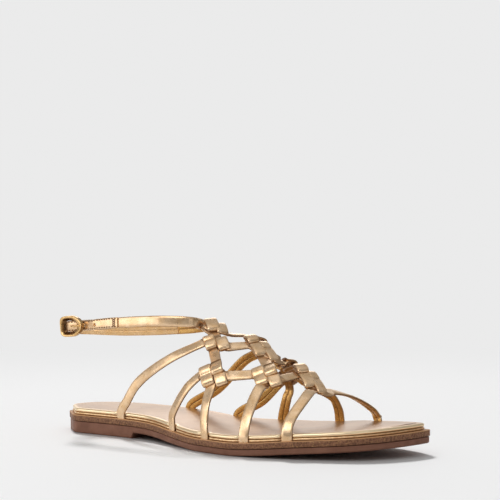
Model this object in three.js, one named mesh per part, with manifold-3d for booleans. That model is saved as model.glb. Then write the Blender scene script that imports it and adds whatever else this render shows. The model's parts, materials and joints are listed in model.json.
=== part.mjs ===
// Gladiator sandal, right foot: flat sole, knotted strap net, ankle strap with buckle.
// Millimetres. +X runs from heel to toe, +Y is the inner (medial) side, +Z is up, the floor is z = 0.
import * as THREE from "three";
import { mergeVertices } from "three/addons/utils/BufferGeometryUtils.js";
import Module from "manifold-3d";

const wasm = await Module();
wasm.setup();

// Sole
const soleLength = 250;
const ballWidth = 86;
const outsoleThick = 3.7;
const midsoleThick = 3.6;
const heelLift = 3.4;
const toeSpring = 6.9;
const outsoleInset = 0.5;
const weltEdge = 0.4;
const treadBevel = 0.9;
const breastAt = 0.265;
const breastRake = 0.6;

// Footbed
const ledge = 1.3;
const baseThick = 1.2;
const sockThick = 2.3;
const sockRim = 1.1;
const baseEdge = 0.3;

// Upper
const strapWidth = 6.4;
const strapThick = 1.7;
const strapEdge = 0.45;
const strapStep = 6;
const ankleHeight = 66.5;
const instepHeight = 55.2;
const ballHeight = 40.5;
const ridgeShift = 4;
const outerRound = 2.0;
const innerRound = 4.3;
const knotLift = 1.9;
const footDepth = 1;
const besideReach = 4;

// Ankle strap and buckle
const holeStrapThick = 1.6;
const holeDiameter = 2.2;
const buckleLength = 19;
const buckleHeight = 12.8;
const buckleRail = 1.9;
const buckleArch = 5.0;
const buckleThick = 2.8;
const ringOut = 1.6;
const ringBack = 4.5;
const ringFront = 1.75;
const barDiameter = 1.6;
const prongDiameter = 1.2;
const foldThick = 1.0;
const tailStep = 3;
const foldStep = 1.3;
const prongStep = 1.6;

// Clearance between neighbours
const gap = 0.3;

// Rows of the buckle as [along, out]: along the strap from the frame's heel end and out from the leg,
// as shares of buckleLength. The tail goes through the frame and over its bar; the fold and the way to
// the bar are the inner half's end; the prong rises from its eye to the rim
const barPlace = [0.2895, -0.1];
const holePlaces = [0.9895, 1.5421];
const prongRows = [[0.379, 0.0105], [0.4316, 0.0789], [0.4789, 0.1579], [0.5895, 0.2105],
  [0.7632, 0.2184], [0.9158, 0.2158]];
const foldStart = [[-0.0316, -0.2211], [0.1263, -0.2]];
const foldEnd = [[0.1368, -0.0842], [0.0105, -0.1421]];
const toBarRows = [[0.1158, -0.2105], [-0.0211, -0.2526], [-0.1684, -0.3684]];
const tailRows = [[-0.3158, -0.3158], [-0.1789, -0.1947], [-0.0316, -0.0842], [0.0947, 0.0053],
  [0.2947, 0.0895], [0.4737, 0.0684], [0.6579, 0.0158], [0.8421, -0.0053], [1.0789, 0.0],
  [1.2895, 0.0632], [1.5, 0.1026]];
// Where the prong's eye and the fold turn round the bar, in degrees
const eyeTurns = [235, 190, 145, 100];
const foldTurns = [270, 315, 0, 45, 90, 120];
// Section of the ring, as shares of its width and of buckleThick
const ringSection = [[0, 0], [1, 0], [1, 0.55], [0.72, 1], [0.28, 1], [0, 0.45]];

// The sole's outline: how far each edge lies from the heel's middle line, as shares of ballWidth
const outlineRows = [
  { at: 0.0, outer: 0.0, inner: 0.0 },
  { at: 0.03, outer: 0.12, inner: 0.2 },
  { at: 0.08, outer: 0.222, inner: 0.284 },
  { at: 0.17, outer: 0.228, inner: 0.325 },
  { at: 0.3, outer: 0.264, inner: 0.309 },
  { at: 0.42, outer: 0.392, inner: 0.297 },
  { at: 0.54, outer: 0.518, inner: 0.364 },
  { at: 0.64, outer: 0.561, inner: 0.446 },
  { at: 0.74, outer: 0.517, inner: 0.467 },
  { at: 0.84, outer: 0.416, inner: 0.431 },
  { at: 0.92, outer: 0.292, inner: 0.38 },
  { at: 0.97, outer: 0.124, inner: 0.312 },
  { at: 1.0, outer: -0.225, inner: 0.225 },
];

// The sole seen from the side: shares of heelLift and of toeSpring
const liftRows = [
  { at: 0.0, heel: 1.0, toe: 0.0 },
  { at: 0.25, heel: 1.0, toe: 0.0 },
  { at: 0.35, heel: 0.78, toe: 0.0 },
  { at: 0.44, heel: 0.28, toe: 0.0 },
  { at: 0.52, heel: 0.0, toe: 0.0 },
  { at: 0.62, heel: 0.0, toe: 0.0 },
  { at: 0.7, heel: 0.0, toe: 0.13 },
  { at: 0.78, heel: 0.0, toe: 0.38 },
  { at: 0.9, heel: 0.0, toe: 0.68 },
  { at: 1.0, heel: 0.0, toe: 1.0 },
];

// The ledge round the footbed, as shares of ledge
const ledgeRows = [
  { at: 0.0, wide: 1.7 },
  { at: 0.12, wide: 1.0 },
  { at: 0.85, wide: 1.1 },
  { at: 0.95, wide: 1.9 },
  { at: 1.0, wide: 2.6 },
];

// The ridge line of the last that the net follows: shares of the three named heights
const ridgeRows = [
  { at: 0.1, ankle: 1.48, instep: 0.0, ball: 0.0 },
  { at: 0.2, ankle: 1.35, instep: 0.0, ball: 0.0 },
  { at: 0.3, ankle: 1.215, instep: 0.0, ball: 0.0 },
  { at: 0.4, ankle: 1.07, instep: 0.0, ball: 0.0 },
  { at: 0.45, ankle: 1.0, instep: 0.0, ball: 0.0 },
  { at: 0.57, ankle: 0.0, instep: 1.0, ball: 0.0 },
  { at: 0.72, ankle: 0.0, instep: 0.0, ball: 1.0 },
  { at: 0.85, ankle: 0.0, instep: 0.0, ball: 0.76 },
  { at: 1.0, ankle: 0.0, instep: 0.0, ball: 0.6 },
];

// Monotone cubic through a column of a table, read at t; key gives each row's own abscissa
function readColumn(rows, column, t, key = (row) => row.at) {
  const x = rows.map(key);
  const y = rows.map((row) => row[column]);
  const last = x.length - 1;
  const at = Math.min(Math.max(t, x[0]), x[last]);
  let i = 0;
  while (i < last - 1 && at > x[i + 1]) i += 1;
  const slope = (k) => (y[k + 1] - y[k]) / (x[k + 1] - x[k]);
  const tangent = (k) => {
    if (k === 0) return slope(0);
    if (k === last) return slope(last - 1);
    const before = slope(k - 1);
    const after = slope(k);
    return before * after <= 0 ? 0 : (2 * before * after) / (before + after);
  };
  const step = x[i + 1] - x[i];
  const u = (at - x[i]) / step;
  const rise = u * u * (3 - 2 * u);
  return y[i] * (1 - rise) + y[i + 1] * rise
    + step * (tangent(i) * u * (1 - u) * (1 - u) - tangent(i + 1) * u * u * (1 - u));
}

// The outline is read by angle, so that heel and toe come out round: at = (1 - cos angle) / 2
const angleOf = (at) => Math.acos(1 - 2 * Math.min(Math.max(at, 0), 1));
const outlineAngle = (row) => angleOf(row.at);

// Point of the outline at an angle, on side -1 (outer) or +1 (inner)
function outlinePoint(angle, side) {
  const column = side < 0 ? "outer" : "inner";
  const x = (soleLength * (1 - Math.cos(angle))) / 2;
  return new THREE.Vector2(x, side * ballWidth * readColumn(outlineRows, column, angle, outlineAngle));
}

// The same point moved in from the edge, square to the outline
function insetPoint(angle, side, inset) {
  const here = outlinePoint(angle, side);
  if (angle < 1e-6) return here.add(new THREE.Vector2(inset, 0));
  if (angle > Math.PI - 1e-6) return here.add(new THREE.Vector2(-inset, 0));
  const step = 0.02;
  const after = outlinePoint(Math.min(angle + step, Math.PI), side);
  const before = outlinePoint(Math.max(angle - step, 0), side);
  const tangent = after.sub(before).normalize();
  return here.add(new THREE.Vector2(side * tangent.y, -side * tangent.x).multiplyScalar(inset));
}

const ledgeAt = (at, more = 0) => ledge * readColumn(ledgeRows, "wide", at) + more;

// Heights along the sole
const soleUnder = (at) => heelLift * readColumn(liftRows, "heel", at)
  + toeSpring * readColumn(liftRows, "toe", at);
const midsoleBottom = (at) => soleUnder(at) + outsoleThick + gap;
const midsoleTop = (at) => midsoleBottom(at) + midsoleThick;
const baseBottom = (at) => midsoleTop(at) + gap;
const baseTop = (at) => baseBottom(at) + baseThick;
const sockBottom = (at) => baseTop(at) + gap;
const sockTop = (at) => sockBottom(at) + sockThick;

// Stations along the sole as angles, with two extra ones at the breast
const stationCount = 34;
const stations = Array.from({ length: stationCount + 1 }, (_, i) => (Math.PI * i) / stationCount);

// A layer of the sole: rings from bottom to top, each with its inset and its height along the sole,
// closed below and above by grids that follow the ends' heights
function soleLayer(rings, angles = stations, columns = 3) {
  const positions = [];
  const indices = [];
  const last = angles.length - 1;
  const add = (x, y, z) => positions.push(x, y, z) / 3 - 1;
  const place = (point, ring) => add(point.x, point.y, ring.height(point.x / soleLength, point));
  const edgePoint = (angle, side, ring) => insetPoint(angle, side, ring.inset((1 - Math.cos(angle)) / 2));
  const perimeter = rings.map((ring) => {
    const outer = [];
    const inner = [];
    angles.forEach((angle, i) => {
      if (i === 0 || i === last) {
        const pole = place(edgePoint(angle, -1, ring), ring);
        outer.push(pole);
        inner.push(pole);
        return;
      }
      outer.push(place(edgePoint(angle, -1, ring), ring));
      inner.push(place(edgePoint(angle, 1, ring), ring));
    });
    return { outer, inner };
  });
  const quad = (a, b, c, d) => {
    if (a !== b && b !== c && a !== c) indices.push(a, b, c);
    if (a !== c && c !== d && a !== d) indices.push(a, c, d);
  };
  for (let k = 0; k + 1 < rings.length; k += 1) {
    const low = perimeter[k];
    const high = perimeter[k + 1];
    for (let i = 0; i < last; i += 1) {
      quad(low.outer[i], low.outer[i + 1], high.outer[i + 1], high.outer[i]);
      quad(low.inner[i + 1], low.inner[i], high.inner[i], high.inner[i + 1]);
    }
  }
  const cap = (ring, edge, up) => {
    const rows = angles.map((angle, i) => {
      if (i === 0 || i === last) return Array(columns + 1).fill(edge.outer[i]);
      const a = edgePoint(angle, -1, ring);
      const b = edgePoint(angle, 1, ring);
      return Array.from({ length: columns + 1 }, (_, j) => {
        if (j === 0) return edge.outer[i];
        if (j === columns) return edge.inner[i];
        return place(a.clone().lerp(b, j / columns), ring);
      });
    });
    for (let i = 0; i < last; i += 1) {
      for (let j = 0; j < columns; j += 1) {
        const corners = [rows[i][j], rows[i + 1][j], rows[i + 1][j + 1], rows[i][j + 1]];
        if (!up) corners.reverse();
        quad(...corners);
      }
    }
  };
  cap(rings[0], perimeter[0], false);
  cap(rings[rings.length - 1], perimeter[rings.length - 1], true);
  return toSolid(positions, indices);
}

// Vertices and triangles as a solid
function toSolid(positions, indices) {
  const geometry = new THREE.BufferGeometry();
  geometry.setAttribute("position", new THREE.Float32BufferAttribute(positions, 3));
  geometry.setIndex(indices);
  return geometryToSolid(geometry);
}

function geometryToSolid(source) {
  const geometry = source.clone();
  geometry.deleteAttribute("normal");
  geometry.deleteAttribute("uv");
  const merged = mergeVertices(geometry, 1e-4);
  const mesh = new wasm.Mesh({
    numProp: 3,
    vertProperties: new Float32Array(merged.attributes.position.array),
    triVerts: new Uint32Array(merged.index.array),
  });
  return new wasm.Manifold(mesh);
}

function solidToGeometry(solid) {
  const mesh = solid.getMesh();
  const geometry = new THREE.BufferGeometry();
  geometry.setAttribute("position", new THREE.Float32BufferAttribute(mesh.vertProperties, 3));
  geometry.setIndex(new THREE.Uint32BufferAttribute(mesh.triVerts, 1));
  geometry.computeVertexNormals();
  return geometry;
}

// The last above the footbed: station at along the sole, girth in degrees from the ridge,
// negative on the outer side; each flank is a quarter of a superellipse
function lastPoint(at, girth) {
  const side = girth < 0 ? -1 : 1;
  const edge = insetPoint(angleOf(at), side, ledgeAt(at, strapThick / 2));
  const power = 2 / (side < 0 ? outerRound : innerRound);
  const turn = THREE.MathUtils.degToRad(Math.abs(girth));
  const ridge = ankleHeight * readColumn(ridgeRows, "ankle", at)
    + instepHeight * readColumn(ridgeRows, "instep", at)
    + ballHeight * readColumn(ridgeRows, "ball", at);
  const floor = baseBottom(at);
  const out = Math.pow(Math.sin(turn), power);
  const up = Math.pow(Math.max(Math.cos(turn), 0), power);
  const y = ridgeShift + (edge.y - ridgeShift) * out;
  return new THREE.Vector3(at * soleLength, y, floor + (ridge - floor) * up);
}

// Outward direction of the last at the same place
function lastNormal(at, girth) {
  const girthStep = 1.5;
  const atStep = 0.01;
  const limited = Math.min(Math.max(girth, -88), 88);
  const along = lastPoint(at + atStep, limited).sub(lastPoint(at - atStep, limited));
  const round = lastPoint(at, limited + girthStep).sub(lastPoint(at, limited - girthStep));
  return along.cross(round).normalize();
}

// A section of [across, out] pairs, one list per station, carried along points with outward normals
function sweep(points, normals, sectionAt) {
  const positions = [];
  const indices = [];
  const last = points.length - 1;
  const sides = sectionAt(0).length;
  points.forEach((point, i) => {
    const ahead = points[Math.min(i + 1, last)].clone().sub(points[Math.max(i - 1, 0)]).normalize();
    const across = new THREE.Vector3().crossVectors(ahead, normals[i]).normalize();
    const out = new THREE.Vector3().crossVectors(across, ahead).normalize();
    sectionAt(i).forEach(([a, b]) => {
      const vertex = point.clone().addScaledVector(across, a).addScaledVector(out, b);
      positions.push(vertex.x, vertex.y, vertex.z);
    });
  });
  for (let i = 0; i < last; i += 1) {
    for (let k = 0; k < sides; k += 1) {
      const a = i * sides + k;
      const b = i * sides + ((k + 1) % sides);
      indices.push(a, b, b + sides, a, b + sides, a + sides);
    }
  }
  for (let k = 1; k + 1 < sides; k += 1) {
    indices.push(0, k + 1, k);
    indices.push(last * sides, last * sides + k, last * sides + k + 1);
  }
  const solid = toSolid(positions, indices);
  return solid.volume() < 0 ? toSolid(positions, indices.reverse()) : solid;
}

// A flat strap with softened edges; width and thick are sizes or lists, one per station
function ribbon(points, normals, width, thick, edge = strapEdge) {
  const sizeAt = (size, i) => (Array.isArray(size) ? size[i] : size);
  return sweep(points, normals, (i) => {
    const half = sizeAt(width, i) / 2;
    const up = sizeAt(thick, i) / 2;
    const flat = half - edge;
    return [[-half, 0], [-flat, up], [flat, up], [half, 0], [flat, -up], [-flat, -up]];
  });
}

// A round rod
const rodSides = 8;
function rod(points, normals, radius) {
  const section = Array.from({ length: rodSides }, (_, k) => {
    const turn = (2 * Math.PI * (k + 0.5)) / rodSides;
    return [-radius * Math.cos(turn), radius * Math.sin(turn)];
  });
  return sweep(points, normals, () => section);
}

// Even samples of a smooth curve through points, with normals carried by a second curve beside it
function smoothPath(points, normals, spacing) {
  const line = new THREE.CatmullRomCurve3(points, false, "centripetal");
  const beside = new THREE.CatmullRomCurve3(
    points.map((point, i) => point.clone().addScaledVector(normals[i], besideReach)), false, "centripetal");
  const count = Math.max(3, Math.round(line.getLength() / spacing));
  const samples = Array.from({ length: count + 1 }, (_, i) => line.getUtoTmapping(i / count));
  return {
    points: samples.map((t) => line.getPoint(t)),
    normals: samples.map((t) => beside.getPoint(t).sub(line.getPoint(t)).normalize()),
  };
}

// Knots of the net and places that the straps pass. A place on the last has its station and girth;
// one in the air has x, y and z as shares of soleLength, ballWidth and ankleHeight. Lean and fore turn
// the face from upright, to the inner side and to the toe; level faces stand upright round the ankle.
const knots = {
  ankleTop: { at: 0.449, girth: -2.8, lean: -30, fore: 22, mirror: -1 },
  instepTop: { at: 0.584, girth: -2.5, lean: -22, fore: 20, mirror: -1 },
  vampTop: { at: 0.736, girth: -6.9, lean: -22, fore: 15, mirror: -1 },
  outerHigh: { at: 0.488, girth: -19.3, lean: -45, fore: 15, mirror: 1 },
  outerLow: { at: 0.542, girth: -46.2, lean: -62, fore: 8, mirror: 1 },
  outerVamp: { at: 0.657, girth: -25.7, lean: -50, fore: 12, mirror: 1 },
  innerHigh: { x: 0.511, y: 0.291, z: 0.787, lean: 58, fore: 8, mirror: -1 },
  innerLow: { x: 0.575, y: 0.32, z: 0.546, lean: 68, fore: 6, mirror: -1 },
  innerVamp: { x: 0.632, y: 0.174, z: 0.643, lean: 46, fore: 12, mirror: -1 },
};

// The six straps of the net, each from one end to the other; at girth 90 a strap meets the sole
const strands = {
  outerAnkle: [
    { x: 0.155, y: -0.223, z: 1.005, level: true },
    { x: 0.216, y: -0.233, z: 1.031, level: true },
    { x: 0.349, y: -0.218, z: 1.068, level: true },
    { x: 0.415, y: -0.116, z: 1.057, level: true },
    "ankleTop", { x: 0.482, y: 0.05, z: 0.944, lean: 25, fore: 20 }, "innerHigh", "innerLow",
    { x: 0.574, y: 0.335, z: 0.373, lean: 85, fore: 0 }, { at: 0.557, girth: 90 },
  ],
  outerHeel: [
    { at: 0.219, girth: -90 }, { at: 0.237, girth: -82.3 }, { at: 0.271, girth: -72.8 },
    { at: 0.381, girth: -51.2 }, { at: 0.459, girth: -26.0 }, "outerHigh", "instepTop",
    { x: 0.625, y: 0.07, z: 0.716, lean: 15, fore: 18 }, "innerVamp",
    { x: 0.700, y: 0.34, z: 0.418, lean: 78, fore: 5 }, { x: 0.704, y: 0.407, z: 0.306, lean: 84, fore: 0 },
    { at: 0.702, girth: 90 },
  ],
  outerShank: [
    { at: 0.421, girth: -90 }, { at: 0.420, girth: -82.2 }, { at: 0.437, girth: -74.5 },
    { at: 0.468, girth: -61.2 }, { at: 0.496, girth: -49.3 }, "outerLow", "outerVamp", "vampTop",
    { x: 0.772, y: 0.05, z: 0.508, lean: 10, fore: 25 }, { x: 0.797, y: 0.19, z: 0.451, lean: 35, fore: 15 },
    { x: 0.813, y: 0.36, z: 0.323, lean: 66, fore: 5 }, { x: 0.810, y: 0.435, z: 0.243, lean: 84, fore: 0 },
    { at: 0.815, girth: 90 },
  ],
  innerAnkle: [
    { x: -0.003, y: -0.05, z: 0.921, level: true },
    { x: 0.006, y: 0.09, z: 0.906, level: true },
    { x: 0.127, y: 0.186, z: 0.906, level: true },
    { x: 0.305, y: 0.14, z: 0.957, level: true },
    { x: 0.401, y: 0.07, z: 0.992, lean: 50, fore: 10 },
    "ankleTop", "outerHigh", "outerLow", { at: 0.545, girth: -67.8 }, { at: 0.550, girth: -80.2 },
    { at: 0.554, girth: -90 },
  ],
  innerHeel: [
    { at: 0.293, girth: 90 }, { x: 0.387, y: 0.256, z: 0.422, lean: 68, fore: -20 },
    { x: 0.464, y: 0.279, z: 0.692, lean: 60, fore: -10 }, "innerHigh", "instepTop", "outerVamp",
    { at: 0.664, girth: -36.7 }, { at: 0.667, girth: -46.1 }, { at: 0.673, girth: -68.1 },
    { at: 0.674, girth: -90 },
  ],
  innerShank: [
    { at: 0.443, girth: 90 }, { x: 0.515, y: 0.279, z: 0.345, lean: 75, fore: -15 },
    "innerLow", "innerVamp", "vampTop",
    { at: 0.769, girth: -24.8 }, { at: 0.774, girth: -33.6 }, { at: 0.776, girth: -67.7 },
    { at: 0.778, girth: -90 },
  ],
};

const placeOf = (row) => (typeof row === "string" ? knots[row] : row);

function spotPoint(spot) {
  if (spot.x === undefined) return lastPoint(spot.at, spot.girth);
  return new THREE.Vector3(spot.x * soleLength, spot.y * ballWidth, spot.z * ankleHeight);
}

// Outward direction of a strap's face at a place, with its neighbours for the level ones
function spotNormal(spot, before, after) {
  if (Math.abs(spot.girth) === 90) return lastNormal(spot.at, spot.girth).setZ(0).normalize();
  if (spot.level) {
    const ahead = after.clone().sub(before);
    const normal = ahead.cross(new THREE.Vector3(0, 0, 1)).normalize();
    const outward = spotPoint(spot).sub(new THREE.Vector3(0.2 * soleLength, 0, 0));
    return normal.dot(outward) < 0 ? normal.negate() : normal;
  }
  if (spot.lean === undefined) return lastNormal(spot.at, spot.girth);
  const side = THREE.MathUtils.degToRad(spot.lean);
  const fore = THREE.MathUtils.degToRad(spot.fore);
  return new THREE.Vector3(Math.sin(fore), Math.sin(side) * Math.cos(fore), Math.cos(side) * Math.cos(fore));
}

// A strand's points and normals; where it meets the sole it runs straight down beside the footbed
function strandPath(rows) {
  const spots = rows.map(placeOf);
  const places = spots.map(spotPoint);
  const points = [];
  const normals = [];
  spots.forEach((spot, i) => {
    const normal = spotNormal(spot, places[Math.max(i - 1, 0)], places[Math.min(i + 1, spots.length - 1)]);
    const point = places[i].clone();
    if (Math.abs(spot.girth) !== 90) {
      points.push(point);
      normals.push(normal);
      return;
    }
    const foot = point.clone().setZ(baseBottom(spot.at) - footDepth);
    const pair = [foot, point.setZ(sockTop(spot.at))];
    if (i > 0) pair.reverse();
    points.push(...pair);
    normals.push(normal, normal.clone());
  });
  return { points, normals };
}

// A strand sampled once; its samples up to the seam belong to the ankle strap
const seamRow = 3;
const runs = Object.fromEntries(Object.entries(strands).map(([name, rows]) => {
  const { points, normals } = strandPath(rows);
  const run = smoothPath(points, normals, strapStep);
  run.seam = 0;
  if (Math.abs(placeOf(rows[0]).girth) !== 90) {
    const distances = run.points.map((point) => point.distanceTo(points[seamRow]));
    run.seam = distances.indexOf(Math.min(...distances));
  }
  return [name, run];
}));

// The notches for the straps' feet: the lowest samples of each strap, swelled by the clearance and
// carried out past the edge of the footbed
function footCutters() {
  const reach = 3 * strapThick;
  const footSamples = 4;
  const half = strapWidth / 2 + gap;
  const under = -strapThick / 2 - gap;
  const section = [[-half, under], [-half, under + reach], [half, under + reach], [half, under]];
  const cutters = [];
  Object.values(runs).forEach((run) => {
    const ends = run.seam ? [true] : [false, true];
    ends.forEach((fromEnd) => {
      const order = run.points.map((_, i) => (fromEnd ? run.points.length - 1 - i : i)).slice(0, footSamples);
      cutters.push(sweep(order.map((i) => run.points[i]), order.map((i) => run.normals[i]), () => section));
    });
  });
  return cutters;
}

// A knot's own axes: down its inner strand or its outer one, across, and out of the last
function knotFrame(name) {
  const spot = knots[name];
  const origin = spotPoint(spot);
  const out = spotNormal(spot);
  const start = spot.mirror > 0 || spot.lean < 0 ? "inner" : "outer";
  const rows = Object.entries(strands)
    .find(([key, list]) => key.startsWith(start) && list.includes(name))[1];
  const i = rows.indexOf(name);
  const down = spotPoint(placeOf(rows[i + 1])).sub(spotPoint(placeOf(rows[i - 1])));
  down.addScaledVector(out, -down.dot(out)).normalize();
  const across = new THREE.Vector3().crossVectors(out, down).normalize();
  return { origin, out, down, across };
}

// Lobes of a knot as short raised straps: rows of [across, down, lift] in shares of strapWidth
// and knotLift, on a knot whose strap comes in over the far column
const lobes = {
  fullColumn: { width: 1.1, rows: [[-0.55, -1.0, 0.1], [-0.55, -0.65, 0.9], [-0.55, 0.0, 0.95],
    [-0.55, 0.6, 1.15], [-0.55, 1.0, 1.2]] },
  topBand: { width: 1.1, rows: [[0.4, -1.35, 0.1], [0.4, -0.95, 1.0], [0.4, -0.5, 1.7],
    [0.4, 0.0, 1.9]] },
  lowBand: { width: 1.1, rows: [[0.62, -0.15, 0.8], [0.62, 0.3, 1.4], [0.62, 0.75, 1.4],
    [0.62, 1.1, 0.4]] },
};

function knotSolids(name) {
  const { origin, out, down, across } = knotFrame(name);
  return Object.values(lobes).map((lobe) => {
    const points = lobe.rows.map(([a, b, lift]) => origin.clone()
      .addScaledVector(across, knots[name].mirror * a * strapWidth)
      .addScaledVector(down, b * strapWidth)
      .addScaledVector(out, lift * knotLift));
    return ribbon(points, points.map(() => out), lobe.width * strapWidth, strapThick);
  });
}

// The buckle's axes: along the strap to the toe, up, and out
const buckleOrigin = new THREE.Vector3(0.0368 * soleLength, -0.192 * ballWidth, 0.962 * ankleHeight);
const buckleAhead = spotPoint(strands.outerAnkle[0]).sub(buckleOrigin).normalize();
const buckleOut = buckleAhead.clone().cross(new THREE.Vector3(0, 0, 1)).normalize();
const buckleUp = new THREE.Vector3().crossVectors(buckleOut, buckleAhead).normalize();
const bucklePoint = (along, out, up = 0) => buckleOrigin.clone()
  .addScaledVector(buckleAhead, along)
  .addScaledVector(buckleOut, out)
  .addScaledVector(buckleUp, up);
const inBuckle = (rows) => rows.map(([along, out]) => [along * buckleLength, out * buckleLength]);
// Rows round the bar at a radius
const barAlong = barPlace[0] * buckleLength;
const barOut = barPlace[1] * buckleLength;
const turnRows = (radius, turns) => turns.map(THREE.MathUtils.degToRad)
  .map((turn) => [barAlong + radius * Math.cos(turn), barOut + radius * Math.sin(turn)]);
// Samples of a curve through [along, out] rows, with normals square to it
function bucklePath(rows, spacing) {
  const points = rows.map(([along, out]) => bucklePoint(along, out));
  const normals = points.map((_, i) => {
    const ahead = points[Math.min(i + 1, points.length - 1)].clone().sub(points[Math.max(i - 1, 0)]);
    return ahead.cross(buckleUp).normalize();
  });
  return smoothPath(points, normals, spacing);
}

const join = (solids) => wasm.Manifold.union(solids);

const leather = new THREE.MeshStandardMaterial({ color: 0xcda06e, roughness: 0.35, metalness: 0.75 });
const sockLeather = new THREE.MeshStandardMaterial({ color: 0xb89072, roughness: 0.4, metalness: 0.45 });
const rubber = new THREE.MeshStandardMaterial({ color: 0x6b4736, roughness: 0.55, metalness: 0 });
const welt = new THREE.MeshStandardMaterial({ color: 0x6a4e38, roughness: 0.65, metalness: 0 });
const brass = new THREE.MeshStandardMaterial({ color: 0xc98f45, roughness: 0.28, metalness: 1 });

const sandal = new THREE.Group();
const addPiece = (name, solid, material) => {
  const mesh = new THREE.Mesh(solidToGeometry(solid), material.clone());
  mesh.name = name;
  sandal.add(mesh);
};

// Outsole with its heel block: the tread steps up at the breast
const breastAngle = angleOf(breastAt);
const behindBreast = angleOf(breastAt + breastRake / soleLength);
const treadAngles = [...stations, breastAngle, behindBreast]
  .filter((angle, i) => i > stationCount || Math.abs(angle - breastAngle) > 0.045)
  .sort((a, b) => a - b);
const tread = (at) => (at < breastAt + 1e-5 ? 0 : soleUnder(at));
const outsole = soleLayer([
  { inset: () => outsoleInset + treadBevel, height: tread },
  { inset: () => outsoleInset, height: (at) => tread(at) + treadBevel },
  { inset: () => outsoleInset, height: (at) => soleUnder(at) + outsoleThick },
], treadAngles);
addPiece("outsole", outsole, rubber);

const midsole = soleLayer([
  { inset: () => 0, height: midsoleBottom },
  { inset: () => 0, height: (at) => midsoleTop(at) - weltEdge },
  { inset: () => weltEdge, height: midsoleTop },
]);
addPiece("midsole", midsole, welt);

const notches = join(footCutters());
const footbedBase = soleLayer([
  { inset: (at) => ledgeAt(at, baseEdge), height: baseBottom },
  { inset: (at) => ledgeAt(at), height: (at) => baseBottom(at) + baseThick / 2 },
  { inset: (at) => ledgeAt(at, baseEdge), height: baseTop },
]).subtract(notches);
addPiece("footbed_base", footbedBase, leather);

const sock = soleLayer([
  { inset: (at) => ledgeAt(at, sockRim * 0.5), height: sockBottom },
  { inset: (at) => ledgeAt(at), height: (at) => sockBottom(at) + sockThick * 0.35 },
  { inset: (at) => ledgeAt(at, sockRim * 0.25), height: (at) => sockBottom(at) + sockThick * 0.75 },
  { inset: (at) => ledgeAt(at, sockRim), height: sockTop },
]).subtract(notches);
addPiece("sock", sock, sockLeather);

// The plane of a strand's seam: side 1 keeps the net, side -1 the ankle strap, a gap short of it
function seamPlane(run, side) {
  const ahead = run.points[run.seam + 1].clone().sub(run.points[run.seam - 1]).normalize();
  const offset = ahead.dot(run.points[run.seam]);
  return [ahead.multiplyScalar(side).toArray(), side > 0 ? offset : gap - offset];
}

// Upper: the strap net with its knots, trimmed above the midsole
const netParts = [];
Object.values(runs).forEach((run) => {
  const strap = ribbon(run.points, run.normals, strapWidth, strapThick);
  netParts.push(run.seam ? strap.trimByPlane(...seamPlane(run, 1)) : strap);
});
Object.keys(knots).forEach((name) => netParts.push(...knotSolids(name)));
const underFootbed = soleLayer([
  { inset: () => -strapWidth, height: () => -strapWidth },
  { inset: () => -strapWidth, height: baseBottom },
]);
addPiece("upper", join(netParts).subtract(underFootbed), leather);

// Ankle strap, outer half: the run of its strand before the seam
const outerRun = runs.outerAnkle;
const beforeSeam = (run) => run.points.slice(0, run.seam + 2);
addPiece("ankle_strap_outer", ribbon(beforeSeam(outerRun), outerRun.normals, strapWidth, strapThick)
  .trimByPlane(...seamPlane(outerRun, -1)), leather);

// Prong: an open eye round the bar, up through the strap and out to rest on the rim
const eyeRadius = (barDiameter + prongDiameter) / 2 + gap;
const prongPath = bucklePath([...turnRows(eyeRadius, eyeTurns), ...inBuckle(prongRows)], prongStep);
const prong = rod(prongPath.points, prongPath.normals, prongDiameter / 2);
// The prong swelled by the clearance, also at its two ends
const prongEnd = prongPath.points.length - 1;
const beyond = (i, from) => prongPath.points[i].clone()
  .add(prongPath.points[i].clone().sub(prongPath.points[from]).setLength(gap));
const prongRoom = rod(
  [beyond(0, 1), ...prongPath.points.slice(1, prongEnd), beyond(prongEnd, prongEnd - 1)],
  prongPath.normals, prongDiameter / 2 + gap);

// Inner half: its end is folded round the bar and sewn down on itself
const foldRadius = barDiameter / 2 + gap + foldThick / 2;
const foldRows = [...inBuckle(foldStart), ...turnRows(foldRadius, foldTurns), ...inBuckle(foldEnd)];
const fold = bucklePath(foldRows, foldStep);
const innerRun = runs.innerAnkle;
const toBar = bucklePath(inBuckle(toBarRows), tailStep);
const innerPoints = [...toBar.points, ...beforeSeam(innerRun).slice(1)];
const toBarNormals = toBar.normals.map((normal) => normal.clone().negate());
const innerNormals = [...toBarNormals, ...innerRun.normals.slice(1)];
addPiece("ankle_strap_inner", join([
  ribbon(innerPoints, innerNormals, strapWidth, strapThick).trimByPlane(...seamPlane(innerRun, -1)),
  ribbon(fold.points, fold.normals, strapWidth, foldThick, strapEdge / 2),
]).subtract(prongRoom), leather);

// Hole strap: sewn over the outer half, through the buckle, over its bar, tail round the heel
const lap = strapThick / 2 + gap + holeStrapThick / 2;
const lapSamples = 4;
const tail = bucklePath(inBuckle(tailRows), tailStep);
const lapPoints = outerRun.points.slice(0, lapSamples)
  .map((point, i) => point.clone().addScaledVector(outerRun.normals[i], lap));
const holePoints = [...tail.points, ...lapPoints];
const holeNormals = [...tail.normals, ...outerRun.normals.slice(0, lapSamples)];
const punchReach = 3 * buckleThick;
const holes = holePlaces.map((share) => share * buckleLength).map((along) => rod(
  [bucklePoint(along, -punchReach), bucklePoint(along, punchReach)], [buckleUp, buckleUp], holeDiameter / 2));
addPiece("hole_strap", ribbon(holePoints, holeNormals, strapWidth, holeStrapThick)
  .subtract(join([...holes, prongRoom])), leather);

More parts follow.
